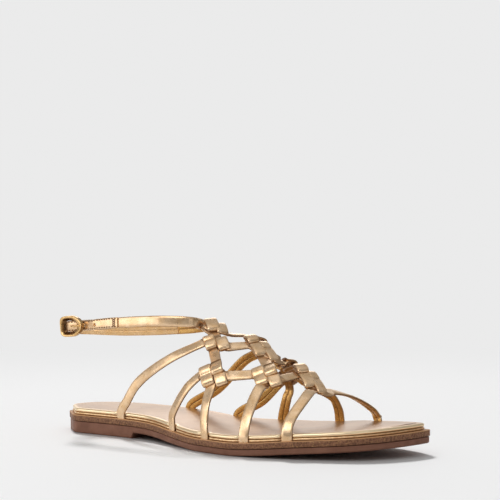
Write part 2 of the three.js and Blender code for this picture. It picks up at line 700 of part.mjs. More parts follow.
// Buckle frame: a ring, square behind and pointed in front, on two posts and a bar
const ringSides = 28;
const ringPoint = (turn, backReach, frontReach, half) => {
  const front = Math.cos(turn) > 0;
  const power = 2 / (front ? ringFront : ringBack);
  const along = (front ? frontReach : -backReach) * Math.pow(Math.abs(Math.cos(turn)), power);
  const up = Math.sign(Math.sin(turn)) * half * Math.pow(Math.abs(Math.sin(turn)), power);
  return [buckleLength / 2 + along, up];
};
function ringSolid() {
  const positions = [];
  const indices = [];
  const sides = ringSection.length;
  for (let i = 0; i < ringSides; i += 1) {
    const turn = (2 * Math.PI * i) / ringSides;
    const outer = ringPoint(turn, buckleLength / 2, buckleLength / 2, buckleHeight / 2);
    const inner = ringPoint(turn, buckleLength / 2 - buckleRail, buckleLength / 2 - buckleArch,
      buckleHeight / 2 - buckleRail);
    ringSection.forEach(([share, rise]) => {
      const vertex = bucklePoint(inner[0] + (outer[0] - inner[0]) * share, ringOut + rise * buckleThick,
        inner[1] + (outer[1] - inner[1]) * share);
      positions.push(vertex.x, vertex.y, vertex.z);
    });
    const next = ((i + 1) % ringSides) * sides;
    for (let k = 0; k < sides; k += 1) {
      const a = i * sides + k;
      const b = i * sides + ((k + 1) % sides);
      const c = next + ((k + 1) % sides);
      const d = next + k;
      indices.push(a, b, c, a, c, d);
    }
  }
  const solid = toSolid(positions, indices);
  return solid.volume() < 0 ? toSolid(positions, indices.reverse()) : solid;
}
const postUp = buckleHeight / 2 - buckleRail / 2;
const postFoot = 0.3 * barDiameter;
const posts = [-1, 1].map((side) => rod(
  [bucklePoint(barAlong, barOut - postFoot, side * postUp),
    bucklePoint(barAlong, ringOut + buckleThick / 2, side * postUp)],
  [buckleUp, buckleUp], barDiameter / 2));
const bar = rod([bucklePoint(barAlong, barOut, -postUp), bucklePoint(barAlong, barOut, postUp)],
  [buckleOut, buckleOut], barDiameter / 2);
addPiece("buckle_frame", join([ringSolid(), ...posts, bar]).subtract(prongRoom), brass);
addPiece("buckle_prong", prong, brass);

// The origin is the middle of the box, on the floor
const box = new THREE.Box3();
sandal.children.forEach((mesh) => {
  mesh.geometry.computeBoundingBox();
  box.union(mesh.geometry.boundingBox);
});
const middle = box.getCenter(new THREE.Vector3());
sandal.children.forEach((mesh) => mesh.geometry.translate(-middle.x, -middle.y, -box.min.z));

export default sandal;
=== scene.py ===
# Gladiator sandal, right foot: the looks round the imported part. Sizes in the dictionaries are in mm.
import json

import bmesh
import bpy
import numpy as np
from mathutils import Matrix, Vector

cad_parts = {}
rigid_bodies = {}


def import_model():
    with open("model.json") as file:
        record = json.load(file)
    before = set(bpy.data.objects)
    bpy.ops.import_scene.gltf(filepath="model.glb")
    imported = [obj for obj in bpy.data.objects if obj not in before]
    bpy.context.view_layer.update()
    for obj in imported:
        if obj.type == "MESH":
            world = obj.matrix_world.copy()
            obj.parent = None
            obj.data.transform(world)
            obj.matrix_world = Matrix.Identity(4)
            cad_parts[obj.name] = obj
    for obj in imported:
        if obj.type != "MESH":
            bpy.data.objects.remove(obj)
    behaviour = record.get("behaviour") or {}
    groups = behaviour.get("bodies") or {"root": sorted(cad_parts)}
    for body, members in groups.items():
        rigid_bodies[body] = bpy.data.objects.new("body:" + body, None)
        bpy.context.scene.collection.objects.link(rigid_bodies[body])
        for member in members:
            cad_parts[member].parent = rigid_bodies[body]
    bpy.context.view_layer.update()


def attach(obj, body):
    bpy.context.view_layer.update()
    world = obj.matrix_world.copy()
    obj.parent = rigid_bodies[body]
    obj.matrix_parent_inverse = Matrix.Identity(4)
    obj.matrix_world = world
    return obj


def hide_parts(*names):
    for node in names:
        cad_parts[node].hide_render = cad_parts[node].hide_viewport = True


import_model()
print("frame loaded")

shoe = {
    "length": 250.0, "ballWidth": 86.0, "ankle": 66.5, "instep": 55.2, "ballTop": 40.5,
    "ridgeShift": 4.0, "outerRound": 2.0, "innerRound": 4.3, "gap": 0.3,
    "rowShift": (124.154, -4.042, 0.0),     # the part's middle, which is the row frame's origin
}
millimetre = 0.001

soleShape = {
    "outline": {
        "at": (0.0, 0.03, 0.08, 0.17, 0.3, 0.42, 0.54, 0.64, 0.74, 0.84, 0.92, 0.97, 1.0),
        "outer": (0.0, 0.12, 0.222, 0.228, 0.264, 0.392, 0.518, 0.561, 0.517, 0.416, 0.292, 0.124, -0.225),
        "inner": (0.0, 0.2, 0.284, 0.325, 0.309, 0.297, 0.364, 0.446, 0.467, 0.431, 0.38, 0.312, 0.225),
    },
    "lift": {
        "at": (0.0, 0.25, 0.35, 0.44, 0.52, 0.62, 0.7, 0.78, 0.9, 1.0),
        "heel": (1.0, 1.0, 0.78, 0.28, 0.0, 0.0, 0.0, 0.0, 0.0, 0.0),
        "toe": (0.0, 0.0, 0.0, 0.0, 0.0, 0.0, 0.13, 0.38, 0.68, 1.0),
    },
    "ledgeRows": {"at": (0.0, 0.12, 0.85, 0.95, 1.0), "wide": (1.7, 1.0, 1.1, 1.9, 2.6)},
    "heelLift": 3.4, "toeSpring": 6.9, "ledge": 1.3,
    "breastAt": 0.265, "breastRake": 0.6,
    "outsoleThick": 3.7, "midsoleThick": 3.6, "baseThick": 1.2, "sockThick": 2.3,
    "stations": 340, "columns": 26,
}

# Ridge line of the last: shares of the three heights
ridgeRows = {
    "at": (0.1, 0.2, 0.3, 0.4, 0.45, 0.57, 0.72, 0.85, 1.0),
    "ankle": (1.48, 1.35, 1.215, 1.07, 1.0, 0.0, 0.0, 0.0, 0.0),
    "instep": (0.0, 0.0, 0.0, 0.0, 0.0, 1.0, 0.0, 0.0, 0.0),
    "ballTop": (0.0, 0.0, 0.0, 0.0, 0.0, 0.0, 1.0, 0.76, 0.6),
}


# Monotone cubic through a table's column: each slope is the harmonic mean of its two chords
def readColumn(x, y, t):
    x, y = np.asarray(x, float), np.asarray(y, float)
    t = np.clip(np.asarray(t, float), x[0], x[-1])
    chord = np.diff(y) / np.diff(x)
    product = chord[:-1] * chord[1:]
    total = np.where(product > 0, chord[:-1] + chord[1:], 1.0)
    slope = np.concatenate([chord[:1], np.where(product > 0, 2 * product / total, 0.0), chord[-1:]])
    i = np.clip(np.searchsorted(x, t, side="left") - 1, 0, len(x) - 2)
    step = x[i + 1] - x[i]
    u = (t - x[i]) / step
    rise = u * u * (3 - 2 * u)
    return (y[i] * (1 - rise) + y[i + 1] * rise
            + step * (slope[i] * u * (1 - u) ** 2 - slope[i + 1] * u * u * (1 - u)))


# The outline is read by angle: its place along the sole is (1 - cos angle) / 2
def angleOf(at):
    return np.arccos(1 - 2 * np.clip(np.asarray(at, float), 0, 1))


# Half outline: along is length * (1 - cos angle) / 2, across is ball width * the row's share
def outlinePoint(angle, side):
    rows = soleShape["outline"]
    wide = readColumn(angleOf(rows["at"]), rows["outer" if side < 0 else "inner"], angle)
    return np.stack([shoe["length"] * (1 - np.cos(angle)) / 2, side * shoe["ballWidth"] * wide], -1)


# The outline moved in by inset, square to its own tangent
def insetPoint(angle, side, inset):
    angle = np.atleast_1d(np.asarray(angle, float))
    reach = 0.02
    tangent = (outlinePoint(np.minimum(angle + reach, np.pi), side)
               - outlinePoint(np.maximum(angle - reach, 0), side))
    tangent /= np.linalg.norm(tangent, axis=-1, keepdims=True)
    inward = np.stack([side * tangent[:, 1], -side * tangent[:, 0]], -1)
    inward[angle < 1e-6] = (1, 0)
    inward[angle > np.pi - 1e-6] = (-1, 0)
    return outlinePoint(angle, side) + inward * np.broadcast_to(inset, angle.shape)[:, None]


# How far the footbed stands in from the midsole: ledge * the row's share
def ledgeAt(at):
    return soleShape["ledge"] * readColumn(soleShape["ledgeRows"]["at"], soleShape["ledgeRows"]["wide"], at)


# Heights along the sole: heel lift and toe spring below, then each layer and a gap above
def soleUnder(at):
    rows = soleShape["lift"]
    return (soleShape["heelLift"] * readColumn(rows["at"], rows["heel"], at)
            + soleShape["toeSpring"] * readColumn(rows["at"], rows["toe"], at))


# Outsole's underside + its thickness + gap
def midsoleBottom(at):
    return soleUnder(at) + soleShape["outsoleThick"] + shoe["gap"]


# Midsole's bottom + its thickness
def midsoleTop(at):
    return midsoleBottom(at) + soleShape["midsoleThick"]


# Midsole's top + gap
def baseBottom(at):
    return midsoleTop(at) + shoe["gap"]


# Footbed base's bottom + its thickness + gap
def sockBottom(at):
    return baseBottom(at) + soleShape["baseThick"] + shoe["gap"]


# Sock's bottom + its thickness
def sockTop(at):
    return sockBottom(at) + soleShape["sockThick"]


# Point of the last: the flank is a quarter of a superellipse from the ridge to the footbed's edge
def lastPoint(at, girth):
    side = -1 if girth < 0 else 1
    edge = insetPoint(angleOf(at), side, ledgeAt(at) + strap["thick"] / 2)[0]
    power = 2 / (shoe["outerRound"] if side < 0 else shoe["innerRound"])
    turn = np.radians(abs(girth))
    ridge = sum(shoe[name] * readColumn(ridgeRows["at"], ridgeRows[name], at)
                for name in ("ankle", "instep", "ballTop"))
    floor = baseBottom(at)
    out, up = np.sin(turn) ** power, max(np.cos(turn), 0) ** power
    return np.array([at * shoe["length"], shoe["ridgeShift"] + (edge[1] - shoe["ridgeShift"]) * out,
                     floor + (ridge - floor) * up])


# Each vector over its own length
def unit(vectors):
    return vectors / np.linalg.norm(vectors, axis=-1, keepdims=True)


# Outward normal of the last: the step along it crossed with the step round it
def lastNormal(at, girth):
    girth = np.clip(girth, -88, 88)
    along = lastPoint(at + 0.01, girth) - lastPoint(at - 0.01, girth)
    around = lastPoint(at, girth + 1.5) - lastPoint(at, girth - 1.5)
    return unit(np.cross(along, around))


# Meshes from whole arrays
def gridFaces(rows, columns, wrap):
    i, j = np.meshgrid(np.arange(rows - 1), np.arange(columns if wrap else columns - 1), indexing="ij")
    after = (j + 1) % columns
    return np.stack([i * columns + j, i * columns + after, (i + 1) * columns + after, (i + 1) * columns + j],
                    -1).reshape(-1, 4)


# Several (points, faces, values) joined into one
def joined(parts):
    points, faces, values, start = [], [], [], 0
    for partPoints, partFaces, partValues in parts:
        points.append(partPoints)
        faces += [np.asarray(f) + start for f in partFaces]
        values.append(partValues)
        start += len(partPoints)
    names = values[0].keys()
    return np.concatenate(points), faces, {k: np.concatenate([v[k] for v in values]) for k in names}


# A mesh in metres in the row frame, faces outwards, with values stored at its points
def meshOf(name, points, faces, values, merge):
    mesh = bpy.data.meshes.new(name)
    polygons = [face for block in faces for face in block.tolist()]
    mesh.from_pydata(((points - np.array(shoe["rowShift"])) * millimetre).tolist(), [], polygons)
    for key, value in values.items():
        mesh.attributes.new(key, "FLOAT", "POINT").data.foreach_set("value", value.astype(np.float32))
    work = bmesh.new()
    work.from_mesh(mesh)
    if merge:
        bmesh.ops.remove_doubles(work, verts=work.verts, dist=2e-6)
    bmesh.ops.recalc_face_normals(work, faces=work.faces)
    work.to_mesh(mesh)
    work.free()
    return mesh


# One visible piece with its attributes, finish and body; the nodes that it replaces are hidden
def makePiece(name, points, faces, values, material, slotName, nodes, sharp=60.0):
    mesh = meshOf(name, points, faces, values, True)
    mesh.shade_smooth()
    mesh.set_sharp_from_angle(angle=np.radians(sharp))
    mesh.materials.append(material)
    piece = bpy.data.objects.new(name, mesh)
    bpy.context.scene.collection.objects.link(piece)
    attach(piece, "root")
    if nodes:
        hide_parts(*nodes)
    return piece


# Finishes
def newMaterial(name, metallic=0.0, specular=0.5):
    material = bpy.data.materials.new(name)
    material.use_nodes = True
    tree = material.node_tree
    shader = tree.nodes["Principled BSDF"]
    shader.inputs["Metallic"].default_value = metallic
    shader.inputs["Specular IOR Level"].default_value = specular
    place = tree.nodes.new("ShaderNodeTexCoord").outputs["Object"]
    return material, tree, shader, place


# Links values to the shader's sockets, by socket name
def feed(tree, shader, values):
    for socket, value in values.items():
        tree.links.new(value, shader.inputs[socket])


# Noise of a given grain size in mm: its scale is 1 / size
def noise(tree, place, size, detail=3.0, rough=0.55):
    node = tree.nodes.new("ShaderNodeTexNoise")
    node.inputs["Scale"].default_value = 1 / (size * millimetre)
    node.inputs["Detail"].default_value = detail
    node.inputs["Roughness"].default_value = rough
    tree.links.new(place, node.inputs["Vector"])
    return node.outputs["Fac"]


# A value turned into colour, straight from stop to stop
def ramp(tree, value, stops):
    node = tree.nodes.new("ShaderNodeValToRGB")
    elements = node.color_ramp.elements
    while len(elements) < len(stops):
        elements.new(0.5)
    for element, (position, colour) in zip(elements, stops):
        element.position = position
        element.color = (*colour, 1)
    tree.links.new(value, node.inputs["Fac"])
    return node.outputs["Color"]


# Colour a * (1 - factor) + b * factor, or another way of blending
def mixed(tree, factor, a, b, how="MIX"):
    node = tree.nodes.new("ShaderNodeMix")
    node.data_type = "RGBA"
    node.blend_type = how
    for socket, value in ((node.inputs[0], factor), (node.inputs[6], a), (node.inputs[7], b)):
        if hasattr(value, "is_output"):
            tree.links.new(value, socket)
        elif isinstance(value, tuple):
            socket.default_value = (*value, 1)
        else:
            socket.default_value = value
    return node.outputs[2]


# Value 0 to 1 carried to low to high
def mapped(tree, value, low, high):
    node = tree.nodes.new("ShaderNodeMapRange")
    node.inputs["To Min"].default_value = low
    node.inputs["To Max"].default_value = high
    tree.links.new(value, node.inputs["Value"])
    return node.outputs["Result"]


# Grain layers on one normal: each is (value, depth in mm, strength), one after another
def bump(tree, shader, layers):
    normal = None
    for value, depth, strength in layers:
        node = tree.nodes.new("ShaderNodeBump")
        node.inputs["Strength"].default_value = strength
        node.inputs["Distance"].default_value = depth * millimetre
        tree.links.new(value, node.inputs["Height"])
        if normal is not None:
            tree.links.new(normal, node.inputs["Normal"])
        normal = node.outputs["Normal"]
    tree.links.new(normal, shader.inputs["Normal"])


# A value stored at the mesh's points
def attribute(tree, name):
    node = tree.nodes.new("ShaderNodeAttribute")
    node.attribute_name = name
    return node.outputs["Fac"]


# The darkest colour is painted shade between and under the knots' lobes; it also darkens the inner groove
strapLook = {"light": (0.93, 0.67, 0.43), "mid": (0.82, 0.545, 0.30), "deep": (0.70, 0.38, 0.10),
             "inside": (0.92, 0.56, 0.18), "seam": (0.20, 0.09, 0.035), "speck": (0.84, 0.80, 0.74),
             "speckShare": 0.55, "metal": (0.92, 0.5), "rough": (0.22, 0.36)}
# The rim colour is the rolled edge's gold, made brighter as painted highlight
sockLook = {"light": (0.52, 0.30, 0.135), "mid": (0.40, 0.215, 0.088), "rim": (0.99, 0.78, 0.50),
            "under": (0.80, 0.52, 0.27), "metal": (0.5, 0.94), "rough": (0.24, 0.36)}
wrapLook = {"mid": (0.80, 0.52, 0.27), "light": (0.96, 0.70, 0.42), "rough": (0.28, 0.48)}
weltLook = {"dark": (0.10, 0.043, 0.022), "light": (0.31, 0.148, 0.08), "fleck": (0.46, 0.25, 0.10),
            "edge": (0.62, 0.34, 0.16), "rough": (0.38, 0.62)}
treadLook = {"dark": (0.185, 0.083, 0.052), "light": (0.265, 0.125, 0.081), "rough": (0.40, 0.56)}
# The darkest brass colour is painted shade in the ring's window and along its edges
brassLook = {"dark": (0.70, 0.42, 0.16), "light": (0.90, 0.60, 0.28), "seam": (0.10, 0.045, 0.018),
             "rough": (0.20, 0.34)}
threadLook = {"dark": (0.13, 0.055, 0.022), "light": (0.26, 0.125, 0.05), "rough": 0.55}


# Foil leather: patched gold outside, grainy gold inside, and dark brown by a stored attribute: painted shade
# at lobe edges, under cuffs and where straps leave knots, and the dark line of the inner groove
def strapLeather():
    material, tree, shader, place = newMaterial("strapLeather", metallic=0.9)
    patches = ramp(tree, noise(tree, place, 5.0), [(0.34, strapLook["mid"]), (0.62, strapLook["light"])])
    fine = noise(tree, place, 0.45, 2.0)
    speck = ramp(tree, fine, [(0.36, strapLook["speck"]), (0.6, (1.0, 1.0, 1.0))])
    outside = mixed(tree, strapLook["speckShare"], patches, mixed(tree, 1.0, patches, speck, "MULTIPLY"))
    grain = noise(tree, place, 0.8, 3.0)
    grainy = ramp(tree, grain, [(0.38, strapLook["deep"]), (0.62, strapLook["inside"])])
    both = mixed(tree, attribute(tree, "inside"), outside, grainy)
    feed(tree, shader, {"Base Color": mixed(tree, attribute(tree, "seam"), both, strapLook["seam"]),
                        "Metallic": mapped(tree, attribute(tree, "inside"), *strapLook["metal"]),
                        "Roughness": mapped(tree, noise(tree, place, 2.2), *strapLook["rough"])})
    bump(tree, shader, [(fine, 0.05, 0.5), (noise(tree, place, 2.6, 2.0), 0.16, 0.35)])
    return material


# Sock: brown gold top, a gold rim whose bright colour is partly painted highlight, wrap colour underneath, by
# two attributes
def sockLeather():
    material, tree, shader, place = newMaterial("sockLeather")
    patches = ramp(tree, noise(tree, place, 22.0, 2.0), [(0.3, sockLook["mid"]), (0.7, sockLook["light"])])
    rimmed = mixed(tree, attribute(tree, "rim"), patches, sockLook["rim"])
    feed(tree, shader, {"Base Color": mixed(tree, attribute(tree, "under"), rimmed, sockLook["under"]),
                        "Metallic": mapped(tree, attribute(tree, "rim"), *sockLook["metal"]),
                        "Roughness": mapped(tree, noise(tree, place, 6.0), *sockLook["rough"])})
    bump(tree, shader, [(noise(tree, place, 0.6, 3.0), 0.03, 0.35),
                        (noise(tree, place, 9.0, 2.0), 0.25, 0.25)])
    return material


# Crinkled gold leather round the footbed's board
def wrapLeather():
    material, tree, shader, place = newMaterial("wrapLeather", metallic=0.85)
    patches = ramp(tree, noise(tree, place, 2.4), [(0.36, wrapLook["mid"]), (0.62, wrapLook["light"])])
    feed(tree, shader, {"Base Color": patches,
                        "Roughness": mapped(tree, noise(tree, place, 1.5), *wrapLook["rough"])})
    bump(tree, shader, [(noise(tree, place, 1.6, 3.0), 0.25, 0.6)])
    return material


# Speckled brown board: dark ground, pale flecks and a lighter upper edge
def weltBoard():
    material, tree, shader, place = newMaterial("weltBoard", specular=0.2)
    ground = ramp(tree, noise(tree, place, 1.1, 4.0), [(0.34, weltLook["dark"]), (0.66, weltLook["light"])])
    flecks = ramp(tree, noise(tree, place, 0.7, 2.0), [(0.61, (0, 0, 0)), (0.68, (1, 1, 1))])
    spotted = mixed(tree, flecks, ground, weltLook["fleck"])
    feed(tree, shader, {"Base Color": mixed(tree, attribute(tree, "edge"), spotted, weltLook["edge"]),
                        "Roughness": mapped(tree, noise(tree, place, 1.0), *weltLook["rough"])})
    bump(tree, shader, [(noise(tree, place, 0.9, 3.0), 0.08, 0.5)])
    return material


# Smooth brown rubber
def treadRubber():
    material, tree, shader, place = newMaterial("treadRubber", specular=0.16)
    patches = ramp(tree, noise(tree, place, 9.0, 3.0), [(0.3, treadLook["dark"]), (0.7, treadLook["light"])])
    feed(tree, shader, {"Base Color": patches,
                        "Roughness": mapped(tree, noise(tree, place, 3.0), *treadLook["rough"])})
    bump(tree, shader, [(noise(tree, place, 0.7, 3.0), 0.05, 0.4)])
    return material


# Cast brass, darkened by a stored attribute as painted shade on the ring's back, outer edge and window walls
def brassCast():
    material, tree, shader, place = newMaterial("brassCast", metallic=1.0)
    cast = ramp(tree, noise(tree, place, 2.5, 3.0), [(0.3, brassLook["dark"]), (0.7, brassLook["light"])])
    feed(tree, shader, {"Base Color": mixed(tree, attribute(tree, "seam"), cast, brassLook["seam"]),
                        "Roughness": mapped(tree, noise(tree, place, 1.6), *brassLook["rough"])})
    bump(tree, shader, [(noise(tree, place, 3.0, 2.0), 0.06, 0.3)])
    return material


# Brown sewing thread
def waxedThread():
    material, tree, shader, place = newMaterial("waxedThread")
    patches = ramp(tree, noise(tree, place, 0.5), [(0.3, threadLook["dark"]), (0.7, threadLook["light"])])
    feed(tree, shader, {"Base Color": patches})
    shader.inputs["Roughness"].default_value = threadLook["rough"]
    return material


leather, sockSkin, wrapSkin = strapLeather(), sockLeather(), wrapLeather()
welt, rubber, brass, thread = weltBoard(), treadRubber(), brassCast(), waxedThread()
print("finishes made")

strap = {"width": 6.4, "thick": 1.7, "groove": 0.32, "grooveWide": 0.34, "footDepth": 1.0,
         "ankleTilt": 0.12, "endThin": 6.0, "sampleStep": 0.8}

# Knots and straps: places on the last by station and girth, places in the air by shares of the sizes
knots = {
    "ankleTop": {"at": 0.449, "girth": -2.8, "lean": -30, "fore": 22, "mirror": -1, "kind": "ankle"},
    "instepTop": {"at": 0.584, "girth": -2.5, "lean": -22, "fore": 20, "mirror": -1},
    "vampTop": {"at": 0.736, "girth": -6.9, "lean": -22, "fore": 15, "mirror": -1},
    "outerHigh": {"at": 0.488, "girth": -19.3, "lean": -45, "fore": 15, "mirror": 1, "kind": "high"},
    "outerLow": {"at": 0.542, "girth": -46.2, "lean": -62, "fore": 8, "mirror": 1},
    "outerVamp": {"at": 0.657, "girth": -25.7, "lean": -50, "fore": 12, "mirror": 1},
    "innerHigh": {"x": 0.511, "y": 0.291, "z": 0.787, "lean": 58, "fore": 8, "mirror": -1},
    "innerLow": {"x": 0.575, "y": 0.32, "z": 0.546, "lean": 68, "fore": 6, "mirror": -1},
    "innerVamp": {"x": 0.632, "y": 0.174, "z": 0.643, "lean": 46, "fore": 12, "mirror": -1},
}
strands = {
    "outerAnkle": [
        {"x": 0.155, "y": -0.223, "z": 1.005, "level": True},
        {"x": 0.216, "y": -0.233, "z": 1.031, "level": True},
        {"x": 0.349, "y": -0.218, "z": 1.068, "level": True},
        {"x": 0.415, "y": -0.116, "z": 1.057, "level": True},
        "ankleTop", {"x": 0.482, "y": 0.05, "z": 0.944, "lean": 25, "fore": 20}, "innerHigh", "innerLow",
        {"x": 0.574, "y": 0.335, "z": 0.373, "lean": 85, "fore": 0}, {"at": 0.557, "girth": 90}],
    "outerHeel": [
        {"at": 0.219, "girth": -90}, {"at": 0.237, "girth": -82.3}, {"at": 0.271, "girth": -72.8},
        {"at": 0.381, "girth": -51.2}, {"at": 0.459, "girth": -26.0}, "outerHigh", "instepTop",
        {"x": 0.625, "y": 0.07, "z": 0.716, "lean": 15, "fore": 18}, "innerVamp",
        {"x": 0.700, "y": 0.34, "z": 0.418, "lean": 78, "fore": 5},
        {"x": 0.704, "y": 0.407, "z": 0.306, "lean": 84, "fore": 0}, {"at": 0.702, "girth": 90}],
    "outerShank": [
        {"at": 0.421, "girth": -90}, {"at": 0.420, "girth": -82.2}, {"at": 0.437, "girth": -74.5},
        {"at": 0.468, "girth": -61.2}, {"at": 0.496, "girth": -49.3}, "outerLow", "outerVamp", "vampTop",
        {"x": 0.772, "y": 0.05, "z": 0.508, "lean": 10, "fore": 25},
        {"x": 0.797, "y": 0.19, "z": 0.451, "lean": 35, "fore": 15},
        {"x": 0.813, "y": 0.36, "z": 0.323, "lean": 66, "fore": 5},
        {"x": 0.810, "y": 0.435, "z": 0.243, "lean": 84, "fore": 0}, {"at": 0.815, "girth": 90}],
    "innerAnkle": [
        {"x": -0.003, "y": -0.05, "z": 0.921, "level": True},
        {"x": 0.006, "y": 0.09, "z": 0.906, "level": True},
        {"x": 0.127, "y": 0.186, "z": 0.906, "level": True},
        {"x": 0.305, "y": 0.14, "z": 0.957, "level": True},
        {"x": 0.401, "y": 0.07, "z": 0.992, "lean": 50, "fore": 10}, "ankleTop", "outerHigh", "outerLow",
        {"at": 0.545, "girth": -67.8}, {"at": 0.550, "girth": -80.2}, {"at": 0.554, "girth": -90}],
    "innerHeel": [
        {"at": 0.293, "girth": 90}, {"x": 0.387, "y": 0.256, "z": 0.422, "lean": 68, "fore": -20},
        {"x": 0.464, "y": 0.279, "z": 0.692, "lean": 60, "fore": -10}, "innerHigh", "instepTop", "outerVamp",
        {"at": 0.664, "girth": -36.7}, {"at": 0.667, "girth": -46.1}, {"at": 0.673, "girth": -68.1},
        {"at": 0.674, "girth": -90}],
    "innerShank": [
        {"at": 0.443, "girth": 90}, {"x": 0.515, "y": 0.279, "z": 0.345, "lean": 75, "fore": -15},
        "innerLow", "innerVamp", "vampTop", {"at": 0.769, "girth": -24.8}, {"at": 0.774, "girth": -33.6},
        {"at": 0.776, "girth": -67.7}, {"at": 0.778, "girth": -90}],
}


# A row is a spot itself or the name of a knot
def placeOf(row):
    return knots[row] if isinstance(row, str) else row


# A spot on the last by station and girth, or in the air by shares of the named sizes
def spotPoint(spot):
    if "at" in spot:
        return lastPoint(spot["at"], spot["girth"])
    return np.array([spot["x"] * shoe["length"], spot["y"] * shoe["ballWidth"], spot["z"] * shoe["ankle"]])


# Outward direction of a strap's face: of the last, upright round the ankle, or by its two leans
def spotNormal(spot, before=None, after=None):
    if abs(spot.get("girth", 0)) == 90:
        return unit(lastNormal(spot["at"], spot["girth"]) * (1, 1, 0))
    if spot.get("level"):
        normal = unit(np.cross(after - before, (0, 0, 1)))
        outward = spotPoint(spot) - (0.2 * shoe["length"], 0, 0)
        return unit(normal * (1 if normal @ outward > 0 else -1) + (0, 0, strap["ankleTilt"]))
    if "lean" not in spot:
        return lastNormal(spot["at"], spot["girth"])
    side, fore = np.radians(spot["lean"]), np.radians(spot["fore"])
    return np.array([np.sin(fore), np.sin(side) * np.cos(fore), np.cos(side) * np.cos(fore)])


# Centripetal Catmull-Rom curve through rows of points, read at t from 0 to 1
def throughPoints(points, t):
    points = np.asarray(points, float)
    last = len(points) - 1
    full = np.concatenate([[2 * points[0] - points[1]], points, [2 * points[-1] - points[-2]]])
    reach = t * last
    i = np.minimum(reach.astype(int), last - 1)
    u = (reach - i)[:, None]
    p0, p1, p2, p3 = full[i], full[i + 1], full[i + 2], full[i + 3]
    pairs = ((p0, p1), (p1, p2), (p2, p3))
    d0, d1, d2 = (np.sqrt(np.linalg.norm(b - a, axis=1, keepdims=True)) for a, b in pairs)
    start = ((p1 - p0) / d0 - (p2 - p0) / (d0 + d1) + (p2 - p1) / d1) * d1
    end = ((p2 - p1) / d1 - (p3 - p1) / (d1 + d2) + (p3 - p2) / d2) * d1
    return (p1 + u * start + u * u * (-3 * p1 + 3 * p2 - 2 * start - end)
            + u ** 3 * (2 * p1 - 2 * p2 + start + end))


# Length walked along a line: the running sum of its steps
def walkedAlong(line):
    return np.concatenate([[0], np.cumsum(np.linalg.norm(np.diff(line, axis=0), axis=1))])


# Even samples of a curve through points; its normals come from a second curve beside it
def smoothPath(points, normals, step):
    points, normals = np.asarray(points, float), np.asarray(normals, float)
    fine = np.linspace(0, 1, 200 * len(points))
    walked = walkedAlong(throughPoints(points, fine))
    count = max(4, int(round(walked[-1] / step)))
    t = np.interp(np.linspace(0, walked[-1], count + 1), walked, fine)
    line = throughPoints(points, t)
    return line, unit(throughPoints(points + 4 * normals, t) - line)


# Seen from the photo's side, a knot's face, and the turn and length of its cells down and across
knotFaces = {
    "ankleTop": {"lean": -26, "fore": 22, "downTurn": 8, "downLong": 10.0,
                 "acrossTurn": 52, "acrossLong": 8.9, "wide": 7.8, "slide": (0, 0)},
    "instepTop": {"lean": -24, "fore": 24, "downTurn": 14, "downLong": 10.6,
                  "acrossTurn": 54, "acrossLong": 9.2, "wide": 7.4, "slide": (0.03, -0.08)},
    "vampTop": {"lean": -22, "fore": 26, "downTurn": 7, "downLong": 11.4,
                "acrossTurn": 44, "acrossLong": 8.5, "wide": 7.6, "slide": (-0.12, 0.08)},
    "outerHigh": {"lean": -45, "fore": 15, "downTurn": 27, "downLong": 7.4,
                  "acrossTurn": 86, "acrossLong": 7.8, "wide": 7.4, "slide": (0, 0)},
    "outerLow": {"lean": -62, "fore": 8, "downTurn": 28, "downLong": 7.9,
                 "acrossTurn": 87, "acrossLong": 9.2, "wide": 8.0, "slide": (0, -0.17)},
    "outerVamp": {"lean": -50, "fore": 12, "downTurn": 30, "downLong": 8.1,
                  "acrossTurn": 80, "acrossLong": 9.2, "wide": 8.0, "slide": (0, 0.03)},
    "innerSpan": 7.2,
}


# A knot's own axes: its centre, out of the last, and one cell down its first strand and one across
def knotFrame(name):
    spot = knots[name]
    start = "inner" if spot["mirror"] > 0 or spot["lean"] < 0 else "outer"
    key = next(k for k, rows in strands.items() if k.startswith(start) and name in rows)
    if name in knotFaces:
        face = knotFaces[name]
        out = spotNormal({"x": 0, "y": 0, "z": 0, "lean": face["lean"], "fore": face["fore"]})
        fall = unit(np.array([0, 0, -1.0]) + out * out[2])
        side = np.cross(out, fall)
        turns = np.radians([face["downTurn"], face["acrossTurn"]])
        down = (fall * np.cos(turns[0]) + side * np.sin(turns[0])) * face["downLong"]
        across = (fall * np.cos(turns[1]) + side * np.sin(turns[1])) * face["acrossLong"]
    else:
        out = spotNormal(spot)
        i = strands[key].index(name)
        down = spotPoint(placeOf(strands[key][i + 1])) - spotPoint(placeOf(strands[key][i - 1]))
        down = unit(down - out * (down @ out)) * knotFaces["innerSpan"]
        across = np.cross(out, down) * spot["mirror"]
    slide = knotFaces[name]["slide"] if name in knotFaces else (0, 0)
    centre = spotPoint(spot) + slide[0] * across + slide[1] * down
    return {"centre": centre, "out": out, "down": down, "across": across, "key": key,
            "side": unit(across - down * (across @ down) / (down @ down)),
            "wide": knotFaces[name]["wide"] if name in knotFaces else knotFaces["innerSpan"],
            "kind": spot.get("kind", "ridge" if name.endswith("Top") else "flank")}


knotFrames = {name: knotFrame(name) for name in knots}

# Where the straps enter and leave a knot: across and down in cells, out in mm
weave = {
    "flank": {"north": (0.42, -0.95, 0.5), "south": (-0.42, 0.9, 0), "west": (-0.95, -0.05, -0.2),
              "east": (0.95, -0.1, 0.1)},
    "high": {"north": (0.1, -0.8, -0.2), "south": (-0.42, 0.5, 0), "west": (-0.95, -0.3, -0.2),
             "east": (0.95, 0.1, -0.1)},
    "ankle": {"north": (-1.2, 0.62, -1.6), "south": (-0.45, 0.8, 0), "west": (-1.2, 0.36, 0),
              "east": (0.85, 0.1, -0.8)},
    "ridge": {"north": (-0.5, -0.85, 0.1), "south": (-0.42, 0.95, 0), "west": (-0.95, -0.02, -0.2),
              "east": (1.0, 0.45, -0.2)},
}


# Knot's centre + across cells + down cells + out in mm
def gatePoint(knot, gate):
    across, down, out = weave[knot["kind"]][gate]
    return knot["centre"] + across * knot["across"] + down * knot["down"] + out * knot["out"]


